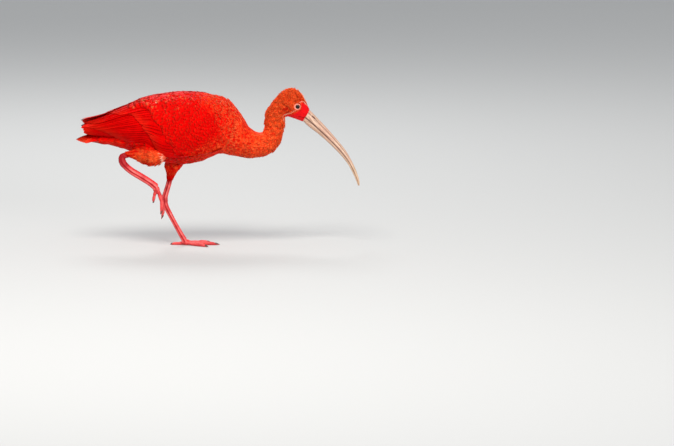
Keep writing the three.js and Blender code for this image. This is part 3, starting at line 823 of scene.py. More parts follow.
def make_skin():
    """One skin for head, neck, torso and thighs, with all that the coat needs to know at each point."""
    skin = one_surface("body_skin", FLESH, SKIN_VOXEL, SKIN_SWELL, SKIN_ROUNDS)
    mesh = skin.data
    finer_face(mesh)
    points, normals = points_of(mesh), read(mesh.vertex_normals, "vector", 3)
    x, y, z = points.T
    side_view = points[:, [0, 2]]
    direction, run, turn, share, region, on_thigh, coat = coat_at(points)
    on_head = run < HEAD_END
    raised = on_thigh * (y < 0)

    in_crimson = inside_outline(side_view, CRIMSON_SKIN)
    crimson = ramp(in_crimson, -0.5, 0.5) * on_head
    # Pale bare skin along the line, which also stands for a painted highlight there
    pale = ramp(to_line(side_view, PALE_LINE), 1.35, 0.35) * on_head
    pale *= ramp(np.abs(y), 2, 5) * (1 - crimson)
    ring = ramp(np.hypot(x - EYE_CENTRE[0], z - EYE_CENTRE[2]), 6.3, 5.3) * on_head
    bare = held(crimson + pale + ring)
    gape = fading(to_line(side_view, GAPE), 0.42) * (run < 40)
    marks = {
        "thigh": on_thigh,
        # painted pool of light on the raised thigh
        "patch": np.exp(-(((side_view - THIGH_LIGHT_POOL) / THIGH_LIGHT_POOL_REACH) ** 2).sum(1)) * raised,
        "throat": ramp(np.abs(in_crimson + 2.2), 3.0, 0.0) * (run < 70) * (x < 190),
        # painted highlight along the top of the forehead
        "forehead_highlight": fading(y, 4.5) * ramp(run, 44.2, 18.2) * (z > 226),
        # painted highlight along the raised knee's front rim
        "knee_highlight": fading(to_line(side_view, KNEE_HIGHLIGHT_LINE), 3.4) * raised,
        "streaks": lumps(points * (0.35, 1.0, 1.0), 8.0, 5) * on_thigh,
    }

    depth = soften(mesh, coat["depth"] * (1 - bare), 4)
    direction = unit(soften(mesh, direction, 10))
    steepness = (direction * normals).sum(1)
    end_cap = (steepness > END_CAP_SLOPE) & (on_thigh > 0)
    direction = unit(direction - steepness[:, None] * normals)

    behind = behind_edge(side_view) * (run > 100) * (1 - on_thigh)
    warmth = coat["warmth"] - 0.5 * fading(np.linalg.norm(side_view - EAR, axis=1), 6) * on_head
    warmth -= 0.45 * held(lumps(points, 5.0, 3)) * ramp(run, 130, 100) * (1 - on_thigh)
    warmth = held(soften(mesh, warmth, 3) * (1 - soften(mesh, behind, 12)))
    # The painted pool of light turns the middle of the raised thigh orange
    warmth = held(warmth + 0.75 * marks["patch"] + 0.25 * marks["streaks"] * (warmth > 0.1))

    wrinkles = face_wrinkles(side_view) * crimson * ramp(run, 4.8, 12.8)
    outwards = 0.9 * ramp(run, 9, 0) + 0.14 * wrinkles - 0.7 * gape - depth - SKIN_SWELL
    brow = ramp(run, 12, 0) * ramp(z, 219, 228)
    set_points(mesh, points + normals * outwards[:, None] + BROW_SHIFT * brow[:, None])

    clumps = lumps(points, 4.5, 1) * ramp(run, 150, 90) + 0.6 * lumps(points, 6.0, 2) * on_thigh
    rim = RIM + sum(part * marks[key] for key, part in RIM_MARKS.items())
    give(mesh, "lie", direction, "FLOAT_VECTOR")
    for key, values in {
        "reach": soften(mesh, coat["length"] * (1 + 0.30 * clumps), 6) * MM,
        "girth": soften(mesh, coat["width"], 6) * MM,
        "lift": np.radians(coat["lift"] * (1 + 0.55 * clumps)),
        "warmth": warmth,
        "bare": crimson,
        "pale": held(0.8 * pale + 0.8 * ring * (1 - crimson)),
        "pit": gape,
        "rim": held(rim) * (1 - 0.6 * behind),
    }.items():
        give(mesh, key, values)
    sow(mesh, points, region, np.where(end_cap, 1, bare), share, turn)
    skin.data.materials.append(SKIN)
    return skin


def sow(mesh, points, region, bare, share, turn):
    """Marks each face with the region that sows it, and lays out an unwrap for the tufts."""
    corners = read(mesh.loops, "vertex_index", kind=np.int32)
    sizes = read(mesh.polygons, "loop_total", kind=np.int32)
    owner = np.repeat(np.arange(len(sizes)), sizes)
    first = corners[np.cumsum(sizes) - sizes]

    x, y, z = points.T
    top, low, half = np.moveaxis(fold_at(x), -1, 0)
    degrees = np.degrees(np.arctan2((z - (top + low) / 2) / (top - low), np.abs(y) / (2 * half)))
    hidden = (x < WING_FRONT) & (x > WING_REAR) & (degrees > WING_EDGE)
    sown = region[first]
    sown[hidden[first] & (sown < REGIONS.index("thigh_left"))] = -1
    sown[bare[first] > 0.5] = -1
    give(mesh, "region", sown, "INT", "FACE")

    v = turn[corners] / (2 * np.pi) + 0.5
    lowest, highest = np.full(len(sizes), np.inf), np.full(len(sizes), -np.inf)
    np.minimum.at(lowest, owner, v)
    np.maximum.at(highest, owner, v)
    v = np.where(((highest - lowest) > 0.5)[owner] & (v < 0.5), v + 1, v) / SEAM_ROOM
    u = share[corners]
    for index in range(len(REGIONS)):
        mine = sown[owner] == index
        if mine.any():
            u[mine] = (u[mine] - u[mine].min()) / (np.ptp(u[mine]) + 1e-9)
    give(mesh, "patch", MAP_START + MAP_SPAN * np.column_stack([u, v]), "FLOAT2", "CORNER")


# Feathers sown

# Rows and columns of faces, arch, camber and fray, then shares of the width by shares of the length
BLANKS = {
    "strand": (3, 2, 0.05, 0.06, 0.0, ([0, 0.3, 0.7, 1.0], [0.7, 1.0, 0.85, 0.25])),
    "lancet": (4, 3, 0.05, 0.08, 0.22, ([0, 0.25, 0.6, 1.0], [0.5, 0.95, 1.0, 0.45])),
    "soft": (4, 6, 0.05, 0.08, 0.13, ([0, 0.18, 0.5, 0.8, 1.0], [0.3, 0.72, 1.0, 0.92, 0.55])),
    "broad": (5, 6, 0.02, 0.045, 0.02,
              ([0, 0.2, 0.4, 0.6, 0.8, 1.0], [0.4, 0.8, 0.97, 1.0, 0.92, 0.60])),
}
BLANKS_OF_A_KIND = 3
FEATHER_THICKNESS = 0.013
TIP_ROUNDING = 0.22
KEPT = ("along", "across", "reach", "half", "warmth", "tone", "rim", "ink", "position", "OFBake",
        "sharp_face", "sharp_edge", "material_index")


def feather_blank(name, seed, rows, columns, arch, camber, fray, outline):
    """A feather one long and one wide, its root at the origin, closed, with a frayed tip."""
    random = np.random.default_rng(seed)
    t = np.linspace(0, 1, rows + 1)[:, None]
    u = np.linspace(-1, 1, columns + 1)[None]
    wide = np.interp(t, *outline)
    notch = fray * (0.4 + 0.6 * random.random(columns + 1)) * (np.arange(columns + 1) % 2)
    x = t * (1 - (TIP_ROUNDING * u**2 + notch) * t**3)
    z = arch * np.sin(np.pi * 0.9 * t) - camber * (u * wide) ** 2
    thick = FEATHER_THICKNESS * (1 - 0.5 * t) * (1 - u**2)
    thick[[0, -1]] = 0
    top, bottom = (stacked(x, 0.5 * wide * u, z + way * thick, u) for way in (1, -1))
    points = np.vstack([top.reshape(-1, 4), bottom[1:-1, 1:-1].reshape(-1, 4)])
    upper = np.arange(x.size).reshape(x.shape)
    lower = upper.copy()
    lower[1:-1, 1:-1] = np.arange(x.size, len(points)).reshape(rows - 1, columns - 1)
    faces = []
    for index, way in ((upper, 1), (lower, -1)):
        corners = [index[:-1, :-1], index[1:, :-1], index[1:, 1:], index[:-1, 1:]][::way]
        faces += np.stack(corners, -1).reshape(-1, 4).tolist()
    mesh = bpy.data.meshes.new(name)
    mesh.from_pydata(points[:, :3].tolist(), [], faces)
    give(mesh, "along", points[:, 0])
    give(mesh, "across", points[:, 3])
    return rounded(mesh)


def blank_set(kind, shape):
    """A few feathers of one kind, kept in a collection of their own."""
    collection = bpy.data.collections.new(kind)
    bpy.context.scene.collection.children.link(collection)
    for seed in range(BLANKS_OF_A_KIND):
        name = f"{kind}_{seed}"
        collection.objects.link(bpy.data.objects.new(name, feather_blank(name, seed, *shape)))
    return collection


def clear_blanks():
    for collection in FEATHER_BLANKS.values():
        for obj in list(collection.objects):
            bpy.data.objects.remove(obj)
        bpy.data.collections.remove(collection)


def new_tree(name, inputs):
    """An empty geometry tree with named inputs, each with its kind of socket and first value."""
    tree = bpy.data.node_groups.new(name, "GeometryNodeTree")
    for way in ("INPUT", "OUTPUT"):
        tree.interface.new_socket("Geometry", in_out=way, socket_type="NodeSocketGeometry")
    for label, (kind, value) in inputs.items():
        socket = tree.interface.new_socket(label, in_out="INPUT", socket_type=f"NodeSocket{kind}")
        if value is not None:
            socket.default_value = value
    nodes = Nodes(tree)
    return nodes, nodes.node("NodeGroupInput").outputs


def end_tree(n, geometry, patch_size, material):
    """The end of both trees: a plain mesh, small patches on the bake's map, and the material."""
    real = n.add("GeometryNodeRealizeInstances", {"Geometry": geometry})
    local = n.vector(n.named("along"), n.math("MULTIPLY_ADD", n.named("across"), 0.5, 0.5))
    place = n.add("ShaderNodeVectorMath", {
        0: local, 1: patch_size, 2: n.named("patch", "FLOAT_VECTOR"),
    }, operation="MULTIPLY_ADD")
    mapped = n.stored(real, "OFBake", place, "FLOAT2", "CORNER")
    soft = n.add("GeometryNodeSetShadeSmooth", {"Geometry": mapped})
    done = n.add("GeometryNodeSetMaterial", {"Geometry": soft, "Material": material})
    n.node("NodeGroupOutput", {0: done})
    return n.tree


def coat_tree():
    """Sows feathers on the faces of one region, along the lie, tips lifted, each a little different."""
    n, given = new_tree("sown_coat", {
        "Region": ("Int", 0), "Spacing": ("Float", 0.003), "Feathers": ("Collection", None),
        "Turn": ("Float", 0.16), "Unevenness": ("Float", 1.0), "Seed": ("Int", 1),
        "Material": ("Material", None),
    })
    spacing = given["Spacing"]
    mine = n.add("FunctionNodeCompare", {2: n.named("region", "INT"), 3: given["Region"]},
                 data_type="INT", operation="EQUAL")
    sown = n.node("GeometryNodeDistributePointsOnFaces", {
        "Mesh": given["Geometry"], "Selection": mine, "Distance Min": spacing,
        "Density Max": n.math("DIVIDE", 4.0, n.times(spacing, spacing)), "Seed": given["Seed"],
    }, distribute_method="POISSON").outputs
    facing = n.add("FunctionNodeAxesToRotation", {
        "Primary Axis": sown["Normal"], "Secondary Axis": n.named("lie", "FLOAT_VECTOR"),
    }, primary_axis="Z", secondary_axis="X")
    lift = n.times(n.named("lift"), n.chance(-1.35, -0.7, 4))
    sway = n.times(n.chance(-1.0, 1.0, 3), given["Turn"])
    own = n.add("FunctionNodeEulerToRotation", {"Euler": n.vector(n.chance(-0.12, 0.12, 5), lift, sway)})
    turned = n.add("FunctionNodeRotateRotation", {"Rotation": facing, "Rotate By": own},
                   rotation_space="LOCAL")
    length = n.times(n.named("reach"), n.chance(0.82, 1.14, 6))
    width = n.times(n.named("girth"), n.chance(0.85, 1.15, 7))
    blanks = n.add("GeometryNodeCollectionInfo", {
        "Collection": given["Feathers"], "Separate Children": True, "Reset Children": True,
    })
    pick = n.add("FunctionNodeRandomValue", {4: 0, 5: BLANKS_OF_A_KIND - 1, "Seed": 8}, 2, data_type="INT")
    tone = n.math("MULTIPLY_ADD", n.chance(-0.5, 0.5, 9), given["Unevenness"], 0.5)
    points = n.stored(sown["Points"], "tone", tone)
    points = n.stored(points, "half", n.times(n.named("girth"), 0.5))
    placed = n.add("GeometryNodeInstanceOnPoints", {
        "Points": points, "Instance": blanks, "Pick Instance": True, "Instance Index": pick,
        "Rotation": turned, "Scale": n.vector(length, width, length),
    })
    return end_tree(n, placed, (TUFT_PATCH,) * 3, given["Material"])


def grown(name, base, tree, settings):
    """Runs a tree on a copy of a mesh and keeps the plain mesh, with what the finish reads."""
    obj = new_object(name, base.copy())
    obj.data.materials.clear()
    modifier = obj.modifiers.new("grow", "NODES")
    modifier.node_group = tree
    labels = {item.name: item.identifier for item in tree.interface.items_tree if item.in_out == "INPUT"}
    for label, value in settings.items():
        modifier[labels[label]] = value
    evaluated(obj)
    for layer in [a.name for a in obj.data.attributes if a.name[0] != "." and a.name not in KEPT]:
        obj.data.attributes.remove(obj.data.attributes[layer])
    return obj


FEATHER_BLANKS = {kind: blank_set(kind, shape) for kind, shape in BLANKS.items()}
SOWN_COAT = coat_tree()


def sow_piece(name, bed, slot, blank, spacing, region, turn, unevenness, seed):
    piece = grown(name, bed.data, SOWN_COAT, {
        "Region": region, "Spacing": spacing * MM, "Feathers": FEATHER_BLANKS[blank],
        "Turn": turn, "Unevenness": unevenness, "Seed": seed, "Material": FEATHER,
    })
    placed_piece(piece, slot)


# Wings and tail, feather by feather

VANE_STATIONS = np.array([0, 0.14, 0.28, 0.42, 0.56, 0.69, 0.79, 0.87, 0.925, 0.96, 0.985, 1.0])
VANE_OUTLINE = ([0, 0.12, 0.32, 0.6, 0.79, 0.87, 0.925, 0.96, 0.985, 1.0],
                [0.5, 0.8, 0.98, 1.0, 0.96, 0.88, 0.76, 0.60, 0.40, 0.10])
VANE_SINK = 2.8
# Of half the width: camber of a vane's two sides, and height and half width of its shaft
VANE_CAMBER, VANE_HOLLOW, SHAFT_RISE, SHAFT_WIDTH = 0.025, 0.02, 0.03, 0.09
CELL_MARGIN = 0.03

# Tiers of a folded wing, lowest first: number of feathers; roots, then tips, of the first and the
# last as (x, degrees round the body); width; how far the tips stand off the form; how much the
# upper edge is tucked under the next feather, and how much more so at the tip; number inked
TIERS = [
    (8, [(-104, -20), (-112, 72)], [(-152, -14), (-162, 72)], 9.0, -7.0, 0.05, 0.0, 2),
    (9, [(-104, -30), (-112, 70)], [(-160, -20), (-169, 70)], 9.0, -3.4, 0.05, 0.0, 2),
    (12, [(-104, -40), (-112, 66)], [(-168, -26), (-175, 66)], 9.5, 0.3, 0.05, 0.0, 3),
    (16, [(-22, -41), (-60, 40)], [(-114, -43), (-174, 42)], 12.0, 0.8, 0.025, 0.4, 0),
    (6, [(-60, 46), (-68, 84)], [(-156, 50), (-172, 84)], 13.5, 1.4, 0.05, 0.4, 0),
    (15, [(12, -42), (-40, 40)], [(-46, -43), (-94, 42)], 12.5, 0.8, 0.02, 0.0, 0),
    (5, [(-40, 46), (-48, 86)], [(-112, 50), (-132, 86)], 15.0, 1.8, 0.03, 0.0, 0),
]
TIP_SCATTER = (1.8, 0.8)
INK_LENGTH, INK_FADE = 5.0, 2.0
MIDDLE_GAP = 0.6

TAIL_ROOT = (-123.0, 187.6)
TAIL_FEATHERS, TAIL_LENGTH, TAIL_WIDTH = 12, 61.0, 10.0
# Rows of under coverts: x of the roots, length and height
UNDER_COVERTS = [(-112, 58, 169.5), (-104, 46, 167.5), (-96, 38, 165.5)]
UNDER_WIDTH = 8.5

ARM_FRONT, ARM_REAR, ARM_STEP = 70, -150, -3.0
ARM_LOW, ARM_HIGH, ARM_COLUMNS = -46, 88, 52
ARM_INSET = 2.6
COVERTS_START = 66

# Soft masses behind the body: rings of x, top, bottom and half width, the x between which they are
# sown, length and width of their feathers, the pale rim, and whether the underside is paler
CUSHIONS = {
    "rump": ([(-84, 214, 178, 24), (-110, 210, 181, 19), (-130, 206, 184, 14), (-142, 203, 187, 10.5),
              (-150, 199, 190, 6)], (-94, -149), 11.0, 4.6, 0.05, 0),
    "tail_root": ([(-92, 206, 161, 22), (-110, 195, 166.5, 20), (-125, 188.5, 170.6, 17),
                   (-140, 185.5, 172.6, 14.5), (-152, 184, 174.5, 12), (-160, 182.5, 176.5, 8)],
                  (-94, -138), 13.0, 4.6, 0.14, 1),
}


def profile_object():
    """The cross-section of a vane: gently cambered, with the shaft raised along the middle."""
    u = np.linspace(-1, 1, 9)
    top = VANE_CAMBER * (1 - u**2) + SHAFT_RISE * fading(u, SHAFT_WIDTH)
    loop = np.vstack([stacked(top, u, 0), stacked(VANE_HOLLOW * (u**2 - 1), u, 0)[-2:0:-1]])
    mesh = bpy.data.meshes.new("vane_profile")
    mesh.from_pydata(loop.tolist(), [(i, (i + 1) % len(loop)) for i in range(len(loop))], [])
    give(mesh, "across", loop[:, 1])
    return new_object("vane_profile", mesh)


def vane_tree(profile):
    """Draws a vane along each spine, as wide as 'half' says and turned to face along 'up'."""
    n, given = new_tree("laid_vanes", {"Fullness": ("Float", 1.0), "Material": ("Material", None)})
    spine = n.add("GeometryNodeMeshToCurve", {"Mesh": given["Geometry"]})
    facing = n.add("GeometryNodeSetCurveNormal", {
        "Curve": spine, "Normal": n.named("up", "FLOAT_VECTOR"),
    }, mode="FREE")
    section = n.add("GeometryNodeMeshToCurve", {
        "Mesh": n.add("GeometryNodeObjectInfo", {"Object": profile}, "Geometry"),
    })
    swept = n.add("GeometryNodeCurveToMesh", {
        "Curve": facing, "Profile Curve": section, "Fill Caps": True,
        "Scale": n.times(n.named("half"), given["Fullness"]),
    })
    return end_tree(n, swept, n.named("patch_size", "FLOAT_VECTOR"), given["Material"])


def spine_of(points, up, width, **marks):
    """One feather along its line: its points, the way it faces, its half width and its marks."""
    run = np.linalg.norm(np.diff(points, axis=0), axis=1).sum()
    return {
        "points": points * MM, "up": np.broadcast_to(up, points.shape), "reach": run * MM,
        "half": 0.5 * width * np.interp(VANE_STATIONS, *VANE_OUTLINE) * MM, "along": VANE_STATIONS,
        "tone": RANDOM.uniform(0.38, 0.62), "warmth": 0.0, "rim": 0.03, "ink": 0.0, **marks,
    }


def spine_mesh(name, spines):
    """All spines as one mesh of edges, each with a cell of its own on the bake's map."""
    stations = len(VANE_STATIONS)
    side = math.ceil(math.sqrt(len(spines)))
    starts = [k * stations + i for k in range(len(spines)) for i in range(stations - 1)]
    mesh = bpy.data.meshes.new(name)
    mesh.from_pydata(np.vstack([s["points"] for s in spines]), [(i, i + 1) for i in starts], [])
    give(mesh, "up", np.vstack([s["up"] for s in spines]), "FLOAT_VECTOR")
    for key in ("half", "reach", "along", "tone", "warmth", "rim", "ink"):
        give(mesh, key, np.concatenate([np.broadcast_to(s[key], stations) for s in spines]))
    cells = [(k % side + CELL_MARGIN, k // side + CELL_MARGIN, 0.0) for k in range(len(spines))]
    give(mesh, "patch", np.repeat(cells, stations, axis=0) / side, "FLOAT_VECTOR")
    give(mesh, "patch_size", (1 - 2 * CELL_MARGIN) / side, "FLOAT_VECTOR")
    return mesh


def tilted(up, along, angle):
    """The facing direction turned about the feather's own line."""
    side = unit(np.cross(along, up))
    return unit(up * np.cos(angle)[..., None] + side * np.sin(angle)[..., None])


def lay_wing(flank):
    """The long feathers of one folded wing, tier by tier."""
    t, spines = VANE_STATIONS, []
    for count, roots, tips, width, lift, roll, fan, inked in TIERS:
        roots, tips = np.array(roots, float), np.array(tips, float)
        for i in range(count):
            share = i / (count - 1)
            root = roots[0] + (roots[1] - roots[0]) * share
            tip = tips[0] + (tips[1] - tips[0]) * share + RANDOM.uniform(-1, 1, 2) * TIP_SCATTER
            x, degrees = root[:, None] + (tip - root)[:, None] * t
            normal = fold_normal(flank, x, degrees)
            height = (lift + RANDOM.uniform(0, 0.3) + VANE_SINK) * t ** 0.5 - VANE_SINK
            points = on_fold(flank, x, degrees) + normal * height[:, None]
            points[:, 1] = flank * np.maximum(flank * points[:, 1], MIDDLE_GAP)
            along = unit(np.gradient(points, axis=0))
            up = tilted(normal, along, -roll * (1 + fan * t) * flank)
            to_tip = (1 - t) * abs(tip[0] - root[0])
            ink = ramp(to_tip, INK_LENGTH, INK_LENGTH - INK_FADE) if i >= count - inked else 0.0
            spines.append(spine_of(points, up, width * RANDOM.uniform(0.95, 1.08), ink=ink))
    return spines


def lay_tail():
    """Twelve tail feathers in a roof-like fan, graded to the tip, over layers of long under coverts."""
    t, spines = VANE_STATIONS, []
    for place in np.linspace(-1, 1, TAIL_FEATHERS):
        side, outer = math.copysign(1, place), abs(place)
        points = stacked(
            TAIL_ROOT[0] - (TAIL_LENGTH - 15 * outer ** 1.6) * t,
            place * (5 + 9 * t),
            TAIL_ROOT[1] + 0.3 * side + 2.4 * np.sin(math.pi * t) - 8.5 * t**3
            - 8 * outer * (1 - 0.55 * t**2),
        )
        up = unit(np.array([0.05, side * (0.1 + 0.9 * outer ** 1.5), 1.0]))
        spines.append(spine_of(points, up, TAIL_WIDTH, rim=0.12))
    for start, length, low in UNDER_COVERTS:
        for place in np.linspace(-0.9, 0.9, 6):
            points = stacked(
                start - length * (1 - 0.12 * place**2) * t,
                place * (12 - 3 * t),
                low + 7.5 * t**1.3 + 3.2 * abs(place) ** 1.7,
            )
            up = unit(np.array([-0.1, place * 0.8, -1.0]))
            rim = RANDOM.choice([0.05, 0.85], p=[0.7, 0.3])
            spines.append(spine_of(points, up, UNDER_WIDTH, warmth=0.04, rim=rim))
    return spines


def mark_for_sowing(mesh, sown, lie, length, width, lift, **marks):
    """Gives a plain grid all that sowing needs; a face is sown where all its points are."""
    give(mesh, "lie", lie, "FLOAT_VECTOR")
    marks = {"reach": length * MM, "girth": width * MM, "lift": math.radians(lift), **marks}
    for key, values in {"bare": 0, "pale": 0, "pit": 0, **marks}.items():
        give(mesh, key, values)
    region = [0 if all(sown[k] for k in face.vertices) else -1 for face in mesh.polygons]
    give(mesh, "region", region, "INT", "FACE")


def unwrap_grid(mesh, u, v):
    corners = read(mesh.loops, "vertex_index", kind=np.int32)
    give(mesh, "patch", 0.02 + 0.96 * np.column_stack([u, v])[corners], "FLOAT2", "CORNER")


def coverts_end(degrees):
    """Where along the wing the sown coverts have their last roots."""
    return np.interp(degrees, [-46, 40, 50], [-2, -54, -72])


def wing_arm(side, flank):
    """The flesh of a folded wing: a shell under its feathers, with its coverts' lie on the front."""
    stops = np.arange(ARM_FRONT, ARM_REAR, ARM_STEP)[:, None]
    degrees = np.linspace(ARM_LOW, ARM_HIGH, ARM_COLUMNS)
    inset = np.interp(stops - coverts_end(degrees), [-16, -2, 30, 90], [ARM_INSET, 0.2, 0.5, 1.8])
    depth = ARM_INSET + 8.0 - 5.5 * ramp(stops, -40, -130)
    outside, inside = on_fold(flank, stops, degrees, inset), on_fold(flank, stops, degrees[::-1], depth)
    arm = new_object(f"wing_{side}_arm", grid_mesh("arm", np.hstack([outside, inside])), SKIN)
    mesh = arm.data
    points = points_of(mesh)
    x = points[:, 0]
    angle = np.append(np.tile(np.append(degrees, degrees[::-1]), len(stops)), [20.0, 20.0])
    outer = np.append(np.tile(np.arange(2 * ARM_COLUMNS) < ARM_COLUMNS, len(stops)), [False, False])
    sown = outer & (x > coverts_end(angle)) & (x < COVERTS_START)
    lie = unit(on_fold(flank, x - 1, angle + 0.25) - on_fold(flank, x, angle))
    back = ramp(angle, 36, 50)
    length = np.interp(x, [-60, 60], [20, 11.0]) * (1 + 0.30 * back)
    width = np.interp(x, [-60, 60], [11.5, 7.0]) * (1 + 0.15 * back)
    # Pale feather tips high on the middle of the wing: painted highlights
    highlight_flecks = np.clip(lumps(points, 6.0, 12) - 0.62, 0, 0.4) * fading(angle - 50, 20) * fading(x + 25, 45)
    warmth = 0.4 * (1 - behind_edge(points[:, [0, 2]]))
    mark_for_sowing(mesh, sown, lie, length, width, 1.7, rim=0.04 + 3.0 * highlight_flecks, warmth=warmth)
    unwrap_grid(mesh, ramp(x, -150, 71), ramp(angle, ARM_LOW, ARM_HIGH))
    return arm


def cushion(name):
    """A soft mass between the folded wings, or round the root of the tail."""
    table, (first, last), length, width, rim, paler = CUSHIONS[name]
    table = np.array(table, float)
    turn = full_turn(48)
    x = np.linspace(table[0, 0], table[-1, 0], 36)[:, None]
    top, low, half = (np.interp(-x, -table[:, 0], table[:, k]) for k in (1, 2, 3))
    rings = stacked(x, half * np.cos(turn), (top + low) / 2 + (top - low) / 2 * np.sin(turn))
    made = new_object(f"{name}_cushion", grid_mesh(f"{name}_cushion", rings), SKIN)
    points = points_of(made.data)
    x, y, z = points.T
    below = ramp(z, 182, 174) * paler
    mark_for_sowing(
        made.data, (x < first) & (x > last), (-1.0, 0.0, 0.0),
        length * np.interp(-x, [130, 150], [1, 0.6]), width, 5.0,
        rim=rim * (0.25 + 1.6 * below), warmth=0.05 * below)
    unwrap_grid(made.data, ramp(x, -176, -82), np.arctan2(y, z - 190) / (2 * np.pi) + 0.5)
    return made


def make_wings_and_tail():
    profile = profile_object()
    tree = vane_tree(profile)
    for node, spines in [("wing_right", lay_wing(-1)), ("wing_left", lay_wing(1)), ("tail", lay_tail())]:
        name = f"{node}_feathers"
        piece = grown(name, spine_mesh(name, spines), tree, {"Fullness": 1.0, "Material": FEATHER})
        placed_piece(piece, "wing_plumage", node)
    bpy.data.objects.remove(profile)
    beds = [(f"wing_{side}", wing_arm(side, flank), "broad", 3.5) for side, flank in SIDES.items()]
    beds += [(name, cushion(name), "soft", 2.6) for name in CUSHIONS]
    for seed, (name, bed, blank, spacing) in enumerate(beds, 31):
        sow_piece(f"{name}_coverts", bed, "wing_plumage", blank, spacing, 0, 0.10, 0.45, seed)
        placed_piece(bed, "wing_plumage")


# Eyes

EYE_BULGE = 0.05
LID_ROUND = 120
LID_THICKNESS = 1.3
LEVEL_ROUNDS = 12
# From the opening outwards: distance from the eye's axis, share of the eyeball's level against
# the skin's, and height over that level
LID_PROFILE = [(3.35, 1, -0.5), (3.5, 1, 0.05), (3.62, 1, 0.28), (3.85, 0.9, 0.42), (4.15, 0.7, 0.44),
               (4.5, 0.45, 0.34), (4.9, 0.2, 0.36), (5.2, 0.08, 0.2), (5.45, 0, -0.1), (5.7, 0, -0.9),
               (6.0, 0, -1.8)]


def make_eyeball(name, flank, centre):
    """A ball with the clear front bulging a little."""
    polar = np.linspace(0.02, math.pi - 0.02, 40)[:, None]
    radius = EYE_RADIUS * np.sin(polar)
    out = EYE_RADIUS * (1 + EYE_BULGE * fading(polar, 0.45)) * np.cos(polar)
    turn = full_turn(48)
    mesh = grid_mesh(name, stacked(radius * np.cos(turn), flank * out, radius * np.sin(turn)) + centre)
    off = points_of(mesh) - centre
    give(mesh, "ring", np.hypot(off[:, 0], off[:, 2]) * MM)
    return new_object(name, mesh, EYE)


def make_lid(name, flank, centre, surface):
    """The bare rim round the eye: it rests on the ball inside and runs into the skin outside."""
    angles = full_turn(LID_ROUND)[:, None]
    reach, share, rise = (np.tile(column, (LID_ROUND, 1)).astype(float) for column in zip(*LID_PROFILE))
    reach[:, 1:] *= 1 + 0.08 * np.abs(np.cos(angles + 0.35)) ** 3
    x, z = centre[0] + reach * np.cos(angles), centre[2] + reach * np.sin(angles)
    level = np.full(x.shape, EYE_CENTRE[1])
    for place in np.ndindex(*x.shape):
        start = Vector((x[place] * MM, flank * 0.05, z[place] * MM))
        hit = surface.ray_cast(start, Vector((0, -flank, 0)))[0]
        if hit:
            level[place] = abs(hit.y) / MM
    for _ in range(LEVEL_ROUNDS):
        level = (level + np.roll(level, 1, 0) + np.roll(level, -1, 0)) / 3
    ball = EYE_CENTRE[1] + np.sqrt(np.maximum(EYE_RADIUS**2 - reach**2, 0))
    fold = 0.05 * np.sin(31 * angles + 3 * reach) * np.sin(2.4 * reach)
    fold = (fold + 0.035 * np.sin(53 * angles - 5 * reach)) * (reach < 5.0) * (rise > 0)
    y = share * ball + (1 - share) * level + rise + fold
    inside = stacked(x, flank * (y - LID_THICKNESS), z)[:, ::-1]
    mesh = grid_mesh(name, np.hstack([stacked(x, flank * y, z), inside]), looped=True)
    return new_object(name, mesh, LID)


def make_eyes(skin):
    surface = search_tree(skin.data)
    for name, flank in SIDES.items():
        centre = np.array((EYE_CENTRE[0], flank * EYE_CENTRE[1], EYE_CENTRE[2]))
        placed_piece(make_eyeball(f"eyeball_{name}", flank, centre), "eye", f"eye_{name}")
        placed_piece(make_lid(f"eyelid_{name}", flank, centre, surface), "neck_plumage")


# Bill

# Ridge of the upper half, line of the mouth, lower edge (x and z each), and half width
BILL = [
    (201.0, 232.6, 195.5, 219.6, 193.1, 213.6, 6.2),
    (207.6, 228.6, 201.3, 215.6, 197.9, 208.8, 7.4), (217.7, 218.5, 210.7, 207.9, 206, 200.9, 7),
    (236.2, 198.7, 229, 190.9, 224.8, 186.3, 5.9), (253, 179.3, 246.4, 173.9, 242.3, 170.5, 5.2),
    (267.1, 161.8, 261.8, 156.9, 258.6, 153.9, 4.5), (277.7, 143.7, 273.9, 140.5, 271.2, 138.3, 3.8),
    (285.8, 126.3, 282.2, 124, 279.9, 122.5, 3.2), (290.6, 111.4, 287.8, 110.3, 285.8, 109.6, 2.6),
    (291.8, 102, 290, 101.9, 288.6, 101.8, 2),
]
BILL_RINGS, BILL_ROUND, BILL_FLOOR = 170, 61, 9
LOWER_SHARE = 0.93
# Scale and step forwards of the rings that close the tip
BILL_END = ((0.85, 0.5), (0.55, 1.0), (0.25, 1.25))
END_WAY = np.array((-0.1, 0, -1.0))
NOSTRIL_AT = np.array((214.6, 216.6))
NOSTRIL_WAY = np.array((0.70, -0.71))
NOSTRIL_REACH = (3.2, 0.6)
GROOVE_AT = 0.83
GROOVE_DEPTH = 0.13


